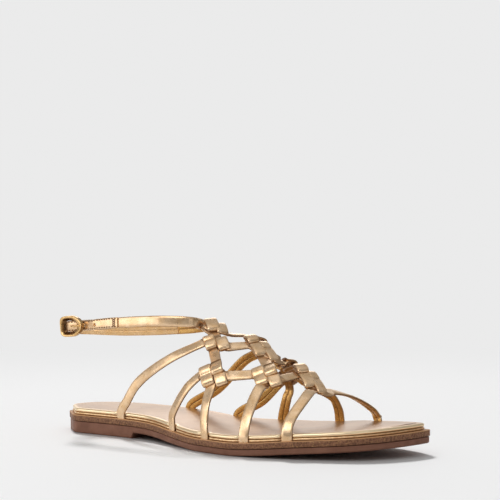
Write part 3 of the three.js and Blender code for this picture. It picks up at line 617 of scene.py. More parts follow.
# A strand's points and normals: through both gates of each knot, and straight down beside the footbed
def strandPath(key, rows):
    spots = [placeOf(row) for row in rows]
    places = [spotPoint(spot) for spot in spots]
    points, normals = [], []
    for i, (row, spot) in enumerate(zip(rows, spots)):
        before, after = places[max(i - 1, 0)], places[min(i + 1, len(spots) - 1)]
        normal = spotNormal(spot, before, after)
        if isinstance(row, str):
            knot = knotFrames[row]
            normal = unit(normal + knot["out"])
            gates = ["north", "south"] if key == knot["key"] else ["west", "east"]
            if key != knot["key"] and (after - before) @ knot["across"] < 0:
                gates.reverse()
            entry, leave = (gatePoint(knot, gate) for gate in gates)
            if isinstance(rows[i - 1], str) and i:
                points += [points[-1] * (1 - part) + entry * part for part in (0.12, 0.5, 0.88)]
                normals += [unit(normals[-1] * (1 - part) + normal * part) for part in (0.12, 0.5, 0.88)]
            points += [entry, leave]
            atAnkle = knot["kind"] == "ankle"
            normals.append(unit(normals[-1] + 0.3 * knot["out"]) if atAnkle and normals else normal)
            normals.append(spotNormal(spots[i + 1]) if atAnkle and gates[1] == "east" else normal)
        elif abs(spot.get("girth", 0)) != 90:
            points.append(places[i])
            normals.append(normal)
        else:
            foot = np.array([*places[i][:2], baseBottom(spot["at"]) - strap["footDepth"]])
            high = np.array([*places[i][:2], sockTop(spot["at"])])
            points += [high, foot] if i else [foot, high]
            normals += [normal, normal]
    return smoothPath(points, normals, strap["sampleStep"])


# Half-section of folded leather: a domed outer face and an inner face with the groove where the
# folded edges meet; across and out run in mm, with a value that is 1 on the inner face
def foldedSection(width, thick, groove):
    x = np.array([-1, -.992, -.965, -.915, -.83, -.7, -.5, -.25, 0, .25, .5, .7, .83, .915, .965, .992, 1])
    dome = np.sqrt(np.clip(1 - np.abs(x) ** 6, 0, 1))
    top = np.stack([x * width / 2, dome * thick / 2 * (1.06 - 0.12 * x ** 2)], -1)
    xb = np.array([.992, .965, .915, .83, .7, .5, .3, .16, .1, .05, 0, -.05, -.1, -.16, -.3, -.5, -.7, -.83,
                   -.915, -.965, -.992])
    flat = np.sqrt(np.clip(1 - np.abs(xb) ** 6, 0, 1))
    dent = groove * np.exp(-(xb * width / 2 / strap["grooveWide"]) ** 2)
    bottom = np.stack([xb * width / 2, -flat * thick / 2 + dent], -1)
    inside = np.concatenate([np.zeros(len(x)), np.clip((flat - 0.55) * 6, 0, 1)])
    # Painted shade: a dark line along both edges of the outer face and a darker underside near the edges,
    # where lobes and straps overlap; the groove on the inner face gets a dark line where the folded edges
    # meet
    paintedEdgeShade = 0.8 * np.exp(-((1 - np.abs(x)) / 0.04) ** 2)
    under = np.clip((np.abs(xb) - 0.9) * 8, 0, 0.7)
    seam = np.concatenate([paintedEdgeShade, np.maximum(under, np.exp(-(xb * width / 2 / 0.22) ** 2) * (groove > 0))])
    return np.concatenate([top, bottom]), inside, seam


# A closed section carried along a line: each point is line + across * a + out * b, with flat ends
def sweep(line, across, section, inside, seam, scale=None):
    ahead = unit(np.gradient(line, axis=0))
    across = unit(across - ahead * np.sum(across * ahead, axis=1, keepdims=True))
    out = unit(np.cross(across, ahead))
    section = np.broadcast_to(section, (len(line), *section.shape[-2:]))
    if scale is not None:
        section = section * scale[:, None, :]
    points = (line[:, None] + across[:, None] * section[..., :1] + out[:, None] * section[..., 1:])
    rows, columns = points.shape[:2]
    ends = np.stack([points[0].mean(0), points[-1].mean(0)])
    every = np.concatenate([points.reshape(-1, 3), ends])
    k = np.arange(columns)
    after = (k + 1) % columns
    total, lastRow = rows * columns, (rows - 1) * columns
    first = np.stack([np.full(columns, total), after, k], -1)
    final = np.stack([np.full(columns, total + 1), lastRow + k, lastRow + after], -1)
    values = {"inside": np.append(np.tile(inside, rows), [0.3, 0.3]),
              "seam": np.append(np.tile(seam, rows), [0, 0])}
    return every, [gridFaces(rows, columns, True), first, final], values


# Across a strap: its direction crossed with its normal
def acrossOf(line, normals):
    return unit(np.cross(unit(np.gradient(line, axis=0)), normals))


# From 0 to 1 over the last few millimetres of a walked length
def endShare(walked):
    return np.clip(1 - (walked[-1] - walked) / strap["endThin"], 0, 1)


# A strap along a line: width and thickness waver a little, by sines of the walked length
def strapBand(line, normals, width, thick, groove=None, waver=0.008, seed=0.0, thin=0.0):
    section, inside, seam = foldedSection(width, thick, strap["groove"] if groove is None else groove)
    walked = walkedAlong(line)
    wide = 1 + waver * np.sin(walked / 5.1 + seed) + waver * 0.6 * np.sin(walked / 2.9 + 2 * seed)
    deep = (1 + waver * np.sin(walked / 6.1 + 3 * seed)) * (1 - thin * endShare(walked))
    return sweep(line, acrossOf(line, normals), section, inside, seam, np.stack([wide, deep], -1))


# Lobes of a square knot: rows of across and down in cells and lift in mm, with curled ends; tilt
# turns a lobe's face across, creases press lines into it along its length
knotShape = {
    "thick": 1.75,
    "flank": {
        "column": {"wide": .98, "tilt": -4, "rows": [(-.5, -.62, -.2), (-.51, -.70, .7), (-.5, -.55, 1.5),
                   (-.5, -.25, 1.75), (-.5, .02, 1.3), (-.5, .32, 1.85), (-.5, .66, 2.1), (-.5, .82, 1.6),
                   (-.5, .86, .8), (-.5, .79, 0)]},
        "low": {"wide": .9, "tilt": -10, "rows": [(.48, -.42, .5), (.49, -.28, 1.3), (.5, 0, 1.9),
                (.51, .35, 2.0), (.51, .62, 1.6), (.51, .71, .9), (.51, .66, .1)]},
        "over": {"wide": .92, "tilt": 0, "rows": [(.40, -1.3, .2), (.40, -1.05, .7), (.42, -.85, 1.7),
                 (.44, -.62, 2.8), (.45, -.42, 3.2), (.46, -.30, 2.9), (.46, -.25, 2.1), (.46, -.33, 1.2)]},
    },
    "high": {
        "column": {"wide": .98, "tilt": -4, "rows": [(-.5, -.72, -.2), (-.5, -.80, .6), (-.5, -.66, 1.4),
                   (-.5, -.5, 1.5), (-.5, -.34, 1.1), (-.5, -.1, 1.8), (-.5, .25, 2.0), (-.5, .45, 1.5),
                   (-.5, .5, .7), (-.5, .44, 0)]},
        "low": {"wide": .96, "tilt": -8, "rows": [(.5, -.62, -.1), (.5, -.70, .7), (.5, -.5, 1.6),
                (.51, -.15, 2.1), (.52, .2, 2.1), (.52, .42, 1.5), (.52, .48, .7), (.52, .42, 0)]},
    },
    "ridge": {
        "cap": {"wide": .8, "tilt": -14, "rows": [(.44, -.75, -.2), (.44, -.86, .5), (.44, -.72, 1.3),
                (.45, -.5, 1.7), (.46, -.34, 1.6), (.46, -.27, 1.0), (.46, -.34, .3)]},
        "column": {"wide": .84, "tilt": -12, "rows": [(.5, -.5, .1), (.5, -.22, .9), (.5, .12, 1.4),
                   (.5, .45, 1.5), (.5, .66, 1.1), (.5, .73, .4), (.5, .66, -.4)]},
        "low": {"wide": 1.0, "tilt": 0, "rows": [(-.46, -.5, .5), (-.45, -.3, 1.3), (-.45, .05, 1.9),
                (-.45, .45, 2.1), (-.45, .7, 1.6), (-.45, .77, .8), (-.45, .70, 0)]},
        "over": {"wide": .94, "tilt": 0, "rows": [(-.5, -.9, -.3), (-.5, -.97, .5), (-.5, -.85, 1.7),
                 (-.5, -.62, 2.8), (-.5, -.42, 3.0), (-.5, -.31, 2.7), (-.5, -.27, 1.9), (-.5, -.35, 1.1)]},
    },
    "ankle": {
        "column": {"wide": .9, "tilt": -12, "rows": [(.40, -.50, -.6), (.40, -.56, .2), (.40, -.35, 1.0),
                   (.40, -.1, 1.3), (.40, .15, 1.1), (.40, .28, .4), (.40, .24, -.4)]},
        "over": {"wide": 1.0, "tilt": 0, "rows": [(-.42, -.48, -.6), (-.42, -.53, .4), (-.42, -.35, 1.5),
                 (-.42, -.05, 2.1), (-.42, .32, 2.3), (-.42, .52, 1.9), (-.42, .58, 1.1), (-.42, .50, .3)]},
    },
    "creases": {"column": [(-.3, .30, .75, .16), (.42, .15, .5, .12)], "over": [(.1, .35, .8, .12)],
                "low": [(-.2, .3, .75, .14), (.45, .4, .8, .10)], "cap": []},
}


# One lobe of a knot: its rows as a swept section, creased by bell curves and puffed in the middle, with
# painted shadow where it runs under another lobe and at its curled end
def knotLobe(name, key):
    knot = knotFrames[name]
    lobe = knotShape[knot["kind"]][key]
    rows = np.array(lobe["rows"], float)
    line = (knot["centre"] + rows[:, :1] * knot["across"] + rows[:, 1:2] * knot["down"]
            + rows[:, 2:] * knot["out"])
    tilt = np.radians(lobe["tilt"])
    axis = np.cos(tilt) * knot["side"] + np.sin(tilt) * knot["out"]
    line, _ = smoothPath(line, np.tile(axis, (len(line), 1)), 0.4)
    share = np.linspace(0, 1, len(line))
    section, inside, seam = foldedSection(lobe["wide"] * knot["wide"], knotShape["thick"], 0)
    wide = section[:, 0] / section[:, 0].max()
    pressed = np.zeros((len(line), len(section)))
    for at, start, end, depth in knotShape["creases"][key]:
        reach = np.exp(-((share - (start + end) / 2) / ((end - start) / 2)) ** 4)
        pressed += depth * reach[:, None] * np.exp(-((wide - at) / 0.11) ** 2)[None]
    sections = np.broadcast_to(section, (len(line), *section.shape)).copy()
    sections[..., 1] -= pressed * (section[:, 1] > 0)
    puff = 1 - 0.06 * np.abs(2 * share - 1) ** 3
    points, faces, values = sweep(line, np.tile(axis, (len(line), 1)), sections, inside * 0, seam,
                                  np.stack([puff, puff], -1))
    # Painted shadow: dark where the lobe starts under the lobe over it, near its curled end and on its end
    # caps
    hidden = 0.30 if key == "low" and "over" in knotShape[knot["kind"]] else 0.15
    tuckedShadow = np.clip(np.maximum((hidden - share) / 0.07, (share - 0.90) / 0.05), 0, 1) * 0.9
    values["seam"] = np.maximum(values["seam"], np.append(np.repeat(tuckedShadow, len(section)), [0.9, 0.9]))
    return points, faces, values


paths = {key: strandPath(key, rows) for key, rows in strands.items()}

seamCut = {"row": 3}      # each ankle strap ends where the fourth row of its strand lies


# Index of the sample nearest to the seam of a strand that starts round the ankle
def seamIndex(key):
    seam = spotPoint(placeOf(strands[key][seamCut["row"]]))
    return int(np.argmin(np.linalg.norm(paths[key][0] - seam, axis=1)))


# Painted shadow on a strap where it comes out from under a knot: by its place in the knot's cells
def knotShade(line):
    shade = np.zeros(len(line))
    for knot in knotFrames.values():
        axes = np.stack([knot["across"], knot["down"], knot["out"] * strap["width"]], 1)
        cells = np.abs((line - knot["centre"]) @ np.linalg.inv(axes).T)
        inside = np.max(cells / (1.0, 0.86, 0.7), axis=1)
        shade = np.maximum(shade, np.clip((1.14 - inside) / 0.12, 0, 1))
    return 0.65 * shade


netParts = []
for count, (key, rows) in enumerate(strands.items()):
    line, normals = paths[key]
    begin = seamIndex(key) if abs(placeOf(rows[0]).get("girth", 0)) != 90 else 0
    points, faces, values = strapBand(line[begin:], normals[begin:], strap["width"], strap["thick"],
                                      seed=1.7 * count)
    ring = (len(points) - 2) // len(line[begin:])
    # The knots' painted shadow is added to the strap's dark attribute
    shade = np.append(np.repeat(knotShade(line[begin:]), ring), [0, 0])
    values["seam"] = np.maximum(values["seam"], shade)
    netParts.append((points, faces, values))
for name in knots:
    netParts += [knotLobe(name, key) for key in knotShape[knotFrames[name]["kind"]]]
makePiece("strap_net", *joined(netParts), leather, "straps", ["upper"])
print("strap net made")

# Sole layers
# How far the straps' feet press the footbed's edge in: a smooth box round each foot, by side
footDent = {"deep": 1.85, "half": 3.5, "soft": 0.55}
feet = {side: [placeOf(row)["at"] for rows in strands.values() for row in (rows[0], rows[-1])
               if placeOf(row).get("girth") == 90 * side] for side in (-1, 1)}


# Depth to which straps press the edge in: a smooth step down from each foot's middle
def footPress(x, side):
    press = np.zeros_like(x)
    for at in feet[side]:
        away = np.abs(x - at * shoe["length"])
        press = np.maximum(press, 0.5 - 0.5 * np.tanh((away - footDent["half"]) / footDent["soft"]))
    return footDent["deep"] * press


# A layer of the sole: at each station a closed loop runs over the bottom, up the inner side, over the
# top and down the outer side; rings give (inset, height) as functions, value names mark the rings
def soleLayer(angles, rings, marks, crown=None):
    # One edge of the layer: the outline moved in by the ring's inset, at the ring's height
    def ringLine(ring, side):
        inset, height = ring
        at = (1 - np.cos(angles)) / 2
        flat = insetPoint(angles, side, inset(at, side))
        return np.column_stack([flat, height(flat[:, 0] / shoe["length"])])

    outer = [ringLine(ring, -1) for ring in rings]
    inner = [ringLine(ring, 1) for ring in rings]
    share = np.linspace(0, 1, soleShape["columns"] + 1)

    # The sheet between two edges: a * (1 - share) + b * share, raised by the bulge
    def across(a, b, height, bulge=None):
        flat = a[:, None, :2] * (1 - share)[None, :, None] + b[:, None, :2] * share[None, :, None]
        z = height(flat[..., 0] / shoe["length"])
        if bulge is not None:
            z = z + bulge(flat[..., 0], flat[..., 1], share[None, :])
        return np.concatenate([flat, z[..., None]], -1)

    bottom = across(outer[0], inner[0], rings[0][1])
    top = across(inner[-1], outer[-1], rings[-1][1], crown)
    loops = np.concatenate([bottom, np.stack(inner[1:-1], 1), top, np.stack(outer[-2:0:-1], 1)], 1)
    count, columns = loops.shape[:2]
    values = {}
    for name, ringValues in marks.items():
        v = np.array(ringValues, float)
        loop = np.concatenate([np.full(len(share), v[0]), v[1:-1], np.full(len(share), v[-1]), v[-2:0:-1]])
        if name == "rim":
            loop[len(share) + len(v) - 2] = loop[2 * len(share) + len(v) - 3] = v[-1]
        values[name] = np.tile(loop, count)
    return loops.reshape(-1, 3), [gridFaces(count, columns, True)], values


# A height that stands a fixed rise above another one
def shiftOf(low, high):
    return lambda at: low(at) + high


even = np.linspace(0, np.pi, soleShape["stations"] + 1)

outsoleShape = {"inset": 0.5, "bevel": 0.9, "rounding": 5}


# The outsole: flat tread up to the breast, a rounded edge, then straight walls
def makeOutsole():
    breast = float(angleOf(soleShape["breastAt"]))
    behind = float(angleOf(soleShape["breastAt"] + soleShape["breastRake"] / shoe["length"]))
    spread = even[np.abs(even - breast) > 0.012]
    angles = np.sort(np.concatenate([spread, [breast, behind]]))

    # Flat on the floor as far as the breast, then the shank and toe spring
    def tread(at):
        return np.where(at < soleShape["breastAt"] + 1e-5, 0.0, soleUnder(at))

    rings, turns = [], np.linspace(0, np.pi / 2, outsoleShape["rounding"])
    for turn in turns:      # rounded tread edge: a quarter circle
        inset = outsoleShape["inset"] + outsoleShape["bevel"] * (1 - np.sin(turn))
        rise = outsoleShape["bevel"] * (1 - np.cos(turn))
        rings.append((lambda at, side, i=inset: np.full_like(at, i), lambda at, r=rise: tread(at) + r))
    low, high = shiftOf(tread, outsoleShape["bevel"]), shiftOf(soleUnder, soleShape["outsoleThick"])
    for part in (0.25, 0.5, 0.75):
        rings.append((lambda at, side: np.full_like(at, outsoleShape["inset"]),
                      lambda at, p=part: low(at) * (1 - p) + high(at) * p))
    rings.append((lambda at, side: np.full_like(at, outsoleShape["inset"]), shiftOf(high, -0.25)))
    rings.append((lambda at, side: np.full_like(at, outsoleShape["inset"] + 0.25), high))
    layer = soleLayer(angles, rings, {"edge": [0] * len(rings)})
    return makePiece("outsole_moulding", *layer, rubber, "outsole", ["outsole"], 40)


# The midsole band: straight walls with small rounded edges
def makeMidsole():
    rings = []
    for inset, base, rise in ((0.3, midsoleBottom, 0), (0.08, midsoleBottom, 0.08), (0, midsoleBottom, 0.3),
                              (0, midsoleBottom, 1.3), (0, midsoleBottom, 2.4), (0, midsoleTop, -0.45),
                              (0.06, midsoleTop, -0.2), (0.2, midsoleTop, -0.05), (0.45, midsoleTop, 0),
                              (1.2, midsoleTop, 0)):
        rings.append((lambda at, side, i=inset: np.full_like(at, i), shiftOf(base, rise)))
    layer = soleLayer(even, rings, {"edge": [0, 0, 0, 0, 0, .1, .8, 1, 1, .7]})
    return makePiece("midsole_band", *layer, welt, "midsole", ["midsole"], 60)


wrapShape = {"pleat": 0.16}


# The wrapped board: its side wavers with small pleats, a sum of sines of the place along the edge
def makeWrap():
    # Sines whose pitch itself wavers, so that no two pleats are alike
    def pleated(at, side, more):
        s = angleOf(at) * shoe["length"] / 2
        pleats = (np.sin(s / 0.52 + 1.5 * np.sin(s / 6.1))
                  + 0.7 * np.sin(s / 0.81 + 2.0 * np.sin(s / 9.7) + side))
        return ledgeAt(at) + more + footPress(at * shoe["length"], side) + wrapShape["pleat"] / 2 * pleats

    rings = []
    for more, rise in ((0.45, 0), (0.15, 0.1), (0.0, 0.35), (-0.05, 0.6), (0.0, 0.85), (0.15, 1.1),
                       (0.45, 1.2)):
        rings.append((lambda at, side, m=more: pleated(at, side, m), shiftOf(baseBottom, rise)))
    layer = soleLayer(even, rings, {"edge": [0] * len(rings)})
    return makePiece("footbed_wrap", *layer, wrapSkin, "footbed_wrap", ["footbed_base"], 80)


sockShape = {"crown": 0.35, "dish": 0.5}


# The padded sock: a rolled rim, then a soft top that dips a little at heel and ball
def makeSock():
    # The rim's inset: ledge + the ring's own + what the straps' feet press in
    def pressedIn(at, side, more):
        return ledgeAt(at) + more + footPress(at * shoe["length"], side)

    rings = []
    for more, rise in ((0.9, 0), (0.45, 0.06), (0.16, 0.3), (0.02, 0.62), (-0.03, 0.95), (0.02, 1.3),
                       (0.16, 1.62), (0.48, 1.92), (0.98, 2.14), (1.6, 2.26), (2.4, 2.26), (3.6, 2.18),
                       (5.2, 2.14)):
        rings.append((lambda at, side, m=more: pressedIn(at, side, m), shiftOf(sockBottom, rise)))


    # Crown less two bell-shaped dips, times a share that is nought at the rim
    def crown(x, y, share):
        middle = np.clip(1 - np.abs(2 * share - 1) ** 2.2, 0, 1)
        heel = np.exp(-((x - 0.12 * shoe["length"]) / 28) ** 2) * sockShape["dish"]
        ball = np.exp(-((x - 0.7 * shoe["length"]) / 32) ** 2) * sockShape["dish"] * 0.7
        return middle * (sockShape["crown"] - heel - ball) + 0.05 * np.sin(x / 11 + y / 17) * middle

    marks = {"rim": [.3, .8, 1, 1, 1, 1, 1, 1, .7, .3, .05, 0, 0],
             "under": [1, .6, .1, 0, 0, 0, 0, 0, 0, 0, 0, 0, 0]}
    return makePiece("sock_pad", *soleLayer(even, rings, marks, crown), sockSkin, "sock", ["sock"], 80)


makeOutsole()
makeMidsole()
makeWrap()
makeSock()
print("sole layers made")

# Ankle strap and buckle
buckle = {
    "place": (0.0368, -0.192, 0.962), "long": 19.0, "high": 12.8, "rail": 1.9, "arch": 5.0, "thick": 2.8,
    "ringOut": 1.6, "ringBack": 4.5, "ringFront": 1.75, "barAlong": 5.5, "barOut": -1.9,
    "bar": 1.6, "prong": 1.2,
    "prongRows": [(7.2, 0.2), (8.2, 1.5), (9.1, 3.0), (11.2, 4.0), (14.5, 4.15), (17.4, 4.1)],
    "turns": 120,
}
buckleOrigin = np.array(buckle["place"]) * (shoe["length"], shoe["ballWidth"], shoe["ankle"])
buckleAhead = unit(spotPoint(strands["outerAnkle"][0]) - buckleOrigin)
buckleOut = unit(np.cross(buckleAhead, (0, 0, 1)))
buckleUp = unit(np.cross(buckleOut, buckleAhead))


# Buckle's origin + along * ahead + out * outward + up * upward, in mm
def bucklePoint(along, out, up=0.0):
    along, out, up = (np.asarray(v, float)[..., None] for v in np.broadcast_arrays(along, out, up))
    return buckleOrigin + along * buckleAhead + out * buckleOut + up * buckleUp


# Samples of a curve through rows of along and out, with normals square to it
def bucklePath(rows, step):
    points = bucklePoint(*np.array(rows, float).T)
    ahead = points[np.minimum(np.arange(len(points)) + 1, len(points) - 1)] - points[
        np.maximum(np.arange(len(points)) - 1, 0)]
    return smoothPath(points, unit(np.cross(ahead, buckleUp)), step)


# Points of an arc: centre + radius * (cos, sin)
def turnRows(centre, radius, degrees):
    turns = np.radians(degrees)
    return [(centre[0] + radius * np.cos(t), centre[1] + radius * np.sin(t)) for t in turns]


# A round rod: a circle carried along the line, with domed ends
def rod(line, normals, radius, sides=20):
    turn = 2 * np.pi * np.arange(sides) / sides
    section = np.stack([np.cos(turn), np.sin(turn)], -1) * radius
    walked = walkedAlong(line)
    ends = np.minimum(walked, walked[-1] - walked)
    dome = np.sqrt(np.clip(1 - (1 - np.clip(ends / (0.7 * radius), 0, 1)) ** 2, 0.05, 1))
    zero = np.zeros(sides)
    return sweep(line, acrossOf(line, normals), section, zero, zero, np.stack([dome, dome], -1))


barPlace = (buckle["barAlong"], buckle["barOut"])
prongRadius = (buckle["bar"] + buckle["prong"]) / 2 + shoe["gap"]
prongLine = bucklePath(turnRows(barPlace, prongRadius, (235, 190, 145, 100)) + buckle["prongRows"], 0.3)
makePiece("buckle_pin", *rod(*prongLine, buckle["prong"] / 2), brass, "buckle", ["buckle_prong"])


# Point of the ring at a turn: a square superellipse behind the middle and a pointed one ahead of it
def ringPoint(turn, back, front, half):
    ahead = np.cos(turn) > 0
    power = 2 / np.where(ahead, buckle["ringFront"], buckle["ringBack"])
    along = np.where(ahead, front, -back) * np.abs(np.cos(turn)) ** power
    up = np.sign(np.sin(turn)) * half * np.abs(np.sin(turn)) ** power
    return buckle["long"] / 2 + along, up


# The frame: rails with rounded tops, and a wide front rim that is dished to a raised outer edge
def makeBuckle():
    turn = 2 * np.pi * (np.arange(buckle["turns"]) + 0.5) / buckle["turns"]
    middle, half = buckle["long"] / 2, buckle["high"] / 2
    outer = ringPoint(turn, middle, middle, half)
    inner = ringPoint(turn, middle - buckle["rail"], middle - buckle["arch"], half - buckle["rail"])
    share = np.array([-.58, 0.2, 0.94, 1, 1, .97, .9, .78, .62, .45, .28, .12, .03, -.12, -.60])
    railRise = np.array([0, 0, 0, .05, .62, .8, .93, 1, 1, .98, .9, .72, .5, .30, .08])
    rimRise = np.array([0, 0, 0, .05, .80, .96, 1, .97, .90, .82, .74, .64, .52, .28, .08])
    width = np.hypot(outer[0] - inner[0], outer[1] - inner[1])
    lip = np.where(share < 0, buckle["rail"] / width[:, None], 1)
    wide = np.clip((width - buckle["rail"] * 1.15) / (buckle["arch"] - buckle["rail"] * 1.15), 0, 1)[:, None]
    rise = railRise * (1 - wide) + rimRise * wide
    along = inner[0][:, None] + (outer[0] - inner[0])[:, None] * share * lip
    up = inner[1][:, None] + (outer[1] - inner[1])[:, None] * share * lip
    points = bucklePoint(along, buckle["ringOut"] + rise * buckle["thick"], up)
    closed = np.concatenate([points, points[:1]])
    zero = np.zeros(closed.shape[0] * closed.shape[1])
    # Painted shade: the ring is darkened on its back, along its outer edge and down the window's inner wall
    railPaintedShade = np.array([.9, .6, .4, .5, .15, 0, 0, 0, 0, 0, .25, .5, .8, .95, .95])
    rimPaintedShade = np.array([.9, .6, .4, .5, .25, .1, 0, 0, .1, .1, .05, .2, .5, .95, .95])
    ringPaintedShade = railPaintedShade * (1 - wide) + rimPaintedShade * wide
    parts = [(closed.reshape(-1, 3), [gridFaces(*closed.shape[:2], True)],
              {"inside": zero, "seam": np.concatenate([ringPaintedShade, ringPaintedShade[:1]]).reshape(-1)})]
    reach = half - buckle["rail"] / 2
    for side in (-1, 1):
        post = np.array([buckle["barOut"] - 0.5, buckle["ringOut"] + 1.4])
        ends = bucklePoint(buckle["barAlong"], post, side * reach)
        parts.append(rod(*smoothPath(ends, np.tile(buckleUp, (2, 1)), 0.25), buckle["bar"] / 2))
    ends = bucklePoint(buckle["barAlong"], buckle["barOut"], np.array([-reach, reach]))
    parts.append(rod(*smoothPath(ends, np.tile(buckleOut, (2, 1)), 0.4), buckle["bar"] / 2))
    return makePiece("buckle_ring", *joined(parts), brass, "buckle", ["buckle_frame"], 50)


makeBuckle()

ankle = {"holeThick": 1.6, "holes": (18.8, 29.3), "holeWide": 2.2, "foldThick": 1.0,
         "lapLong": 16.8, "lapEvery": 7, "endThin": 0.6, "farInside": 0.4,
         "tail": [(-6.0, -6.0), (-3.4, -3.7), (-0.6, -1.6), (1.8, 0.1), (5.6, 1.7), (9.0, 1.3), (12.5, 0.3),
                  (16.0, 0.2), (20.5, 0.75), (24.5, 1.4), (28.5, 1.95)],
         "fold": [(-0.6, -4.2), (2.4, -3.8)], "foldBack": [(2.6, -1.6), (0.2, -2.7)],
         "toBar": [(2.2, -4.0), (-0.4, -4.8), (-3.2, -7.0)]}

outerLine, outerNormals = paths["outerAnkle"]
outerEnd = seamIndex("outerAnkle")
nearBand = strapBand(outerLine[:outerEnd + 1], outerNormals[:outerEnd + 1], strap["width"], strap["thick"],
                     seed=9.0)
makePiece("ankle_strap_near", *nearBand, leather, "straps", ["ankle_strap_outer"])

innerLine, innerNormals = paths["innerAnkle"]
innerEnd = seamIndex("innerAnkle")
toBar, toBarNormals = bucklePath(ankle["toBar"], 3)
coarse = np.append(np.arange(6, innerEnd - 4, 7), innerEnd - 1)
innerRows = np.concatenate([toBar, innerLine[coarse]])
innerFaces = np.concatenate([-toBarNormals, innerNormals[coarse]])
farBand = strapBand(*smoothPath(innerRows, innerFaces, strap["sampleStep"]), strap["width"], strap["thick"],
                    seed=4.0)
foldRadius = buckle["bar"] / 2 + shoe["gap"] + ankle["foldThick"] / 2
foldRows = ankle["fold"] + turnRows(barPlace, foldRadius, (270, 315, 0, 45, 90, 120)) + ankle["foldBack"]
foldLine = bucklePath(foldRows, 0.5)
foldBand = strapBand(*foldLine, strap["width"], ankle["foldThick"], groove=0)
farBand[2]["inside"] *= ankle["farInside"]      # the ankle strap's lining is paler than the net's
# The far strap's painted shade and groove line are weaker too
farBand[2]["seam"] *= ankle["farInside"]
makePiece("ankle_strap_far", *joined([farBand, foldBand]), leather, "straps", ["ankle_strap_inner"])

# Hole piece: through the buckle, over its bar, then sewn on top of the outer half
tailLine, tailNormals = bucklePath(ankle["tail"], 3)
lapEnd = int(round(ankle["lapLong"] / strap["sampleStep"])) + 1
lapWalk = np.arange(0, lapEnd, ankle["lapEvery"]) * strap["sampleStep"]
lapHalf = ankle["holeThick"] / 2 * (1 - ankle["endThin"] * endShare(lapWalk))
lap = strap["thick"] / 2 + shoe["gap"] / 3 + lapHalf
lapNormals = outerNormals[0:lapEnd:ankle["lapEvery"]]
lapRows = outerLine[0:lapEnd:ankle["lapEvery"]] + lapNormals * lap[:, None]
holeLine, holeNormals = smoothPath(np.concatenate([tailLine, lapRows]),
                                   np.concatenate([tailNormals, lapNormals]), 0.6)
holeBand = strapBand(holeLine, holeNormals, strap["width"], ankle["holeThick"], groove=0,
                     waver=0.012, seed=2.0, thin=ankle["endThin"])
holePiece = makePiece("hole_piece", *holeBand, leather, "straps", ["hole_strap"])


# A round hole cut through a piece along the buckle's outward axis
def cutHole(piece, along):
    ends = bucklePoint(along, np.array([-4.0, 6.0]))
    points, faces, _ = rod(*smoothPath(ends, np.tile(buckleUp, (2, 1)), 2), ankle["holeWide"] / 2, 28)
    punch = bpy.data.objects.new("punch", meshOf("punch", points, faces, {}, False))
    bpy.context.scene.collection.objects.link(punch)
    modifier = piece.modifiers.new("punched", "BOOLEAN")
    modifier.object = punch
    modifier.operation = "DIFFERENCE"
    modifier.solver = "EXACT"
    evaluated = piece.evaluated_get(bpy.context.evaluated_depsgraph_get())
    cut = bpy.data.meshes.new_from_object(evaluated)
    piece.modifiers.clear()
    piece.data = cut
    bpy.data.objects.remove(punch)


for along in ankle["holes"]:
    cutHole(holePiece, along)
print("ankle strap and buckle made")

stitch = {"pitch": 2.05, "long": 1.6, "radius": 0.30, "edge": 0.8, "proud": 0.14, "sides": 6,
          "rings": 5, "endBack": 1.2, "crossLong": 2.5}


# Short threads as one mesh: each is a capsule, start + ahead * t + a circle that closes at both ends
def threads(starts, ends, normals):
    t = np.linspace(0, 1, stitch["rings"])
    swell = np.sqrt(np.clip(1 - (2 * t - 1) ** 4, 0.02, 1)) * stitch["radius"]
    ahead = unit(ends - starts)
    side = unit(np.cross(ahead, normals))
    out = np.cross(side, ahead)
    turn = 2 * np.pi * np.arange(stitch["sides"]) / stitch["sides"]
    middle = starts[:, None] + (ends - starts)[:, None] * t[None, :, None]
    middle = middle - normals[:, None] * (0.22 * (2 * t - 1) ** 2)[None, :, None]
    ring = (side[:, None, None] * np.cos(turn)[None, None, :, None]
            + out[:, None, None] * np.sin(turn)[None, None, :, None])
    points = middle[:, :, None] + ring * swell[None, :, None, None]
    one = gridFaces(stitch["rings"], stitch["sides"], True)
    size = stitch["rings"] * stitch["sides"]
    faces = (one[None] + (np.arange(len(starts)) * size)[:, None, None]).reshape(-1, 4)
    caps = np.stack([np.arange(stitch["sides"])[::-1], np.arange(stitch["sides"]) + size - stitch["sides"]])
    capFaces = (caps[None] + (np.arange(len(starts)) * size)[:, None, None]).reshape(-1, stitch["sides"])
    return points.reshape(-1, 3), [faces, capFaces], {"inside": np.zeros(len(starts) * size)}


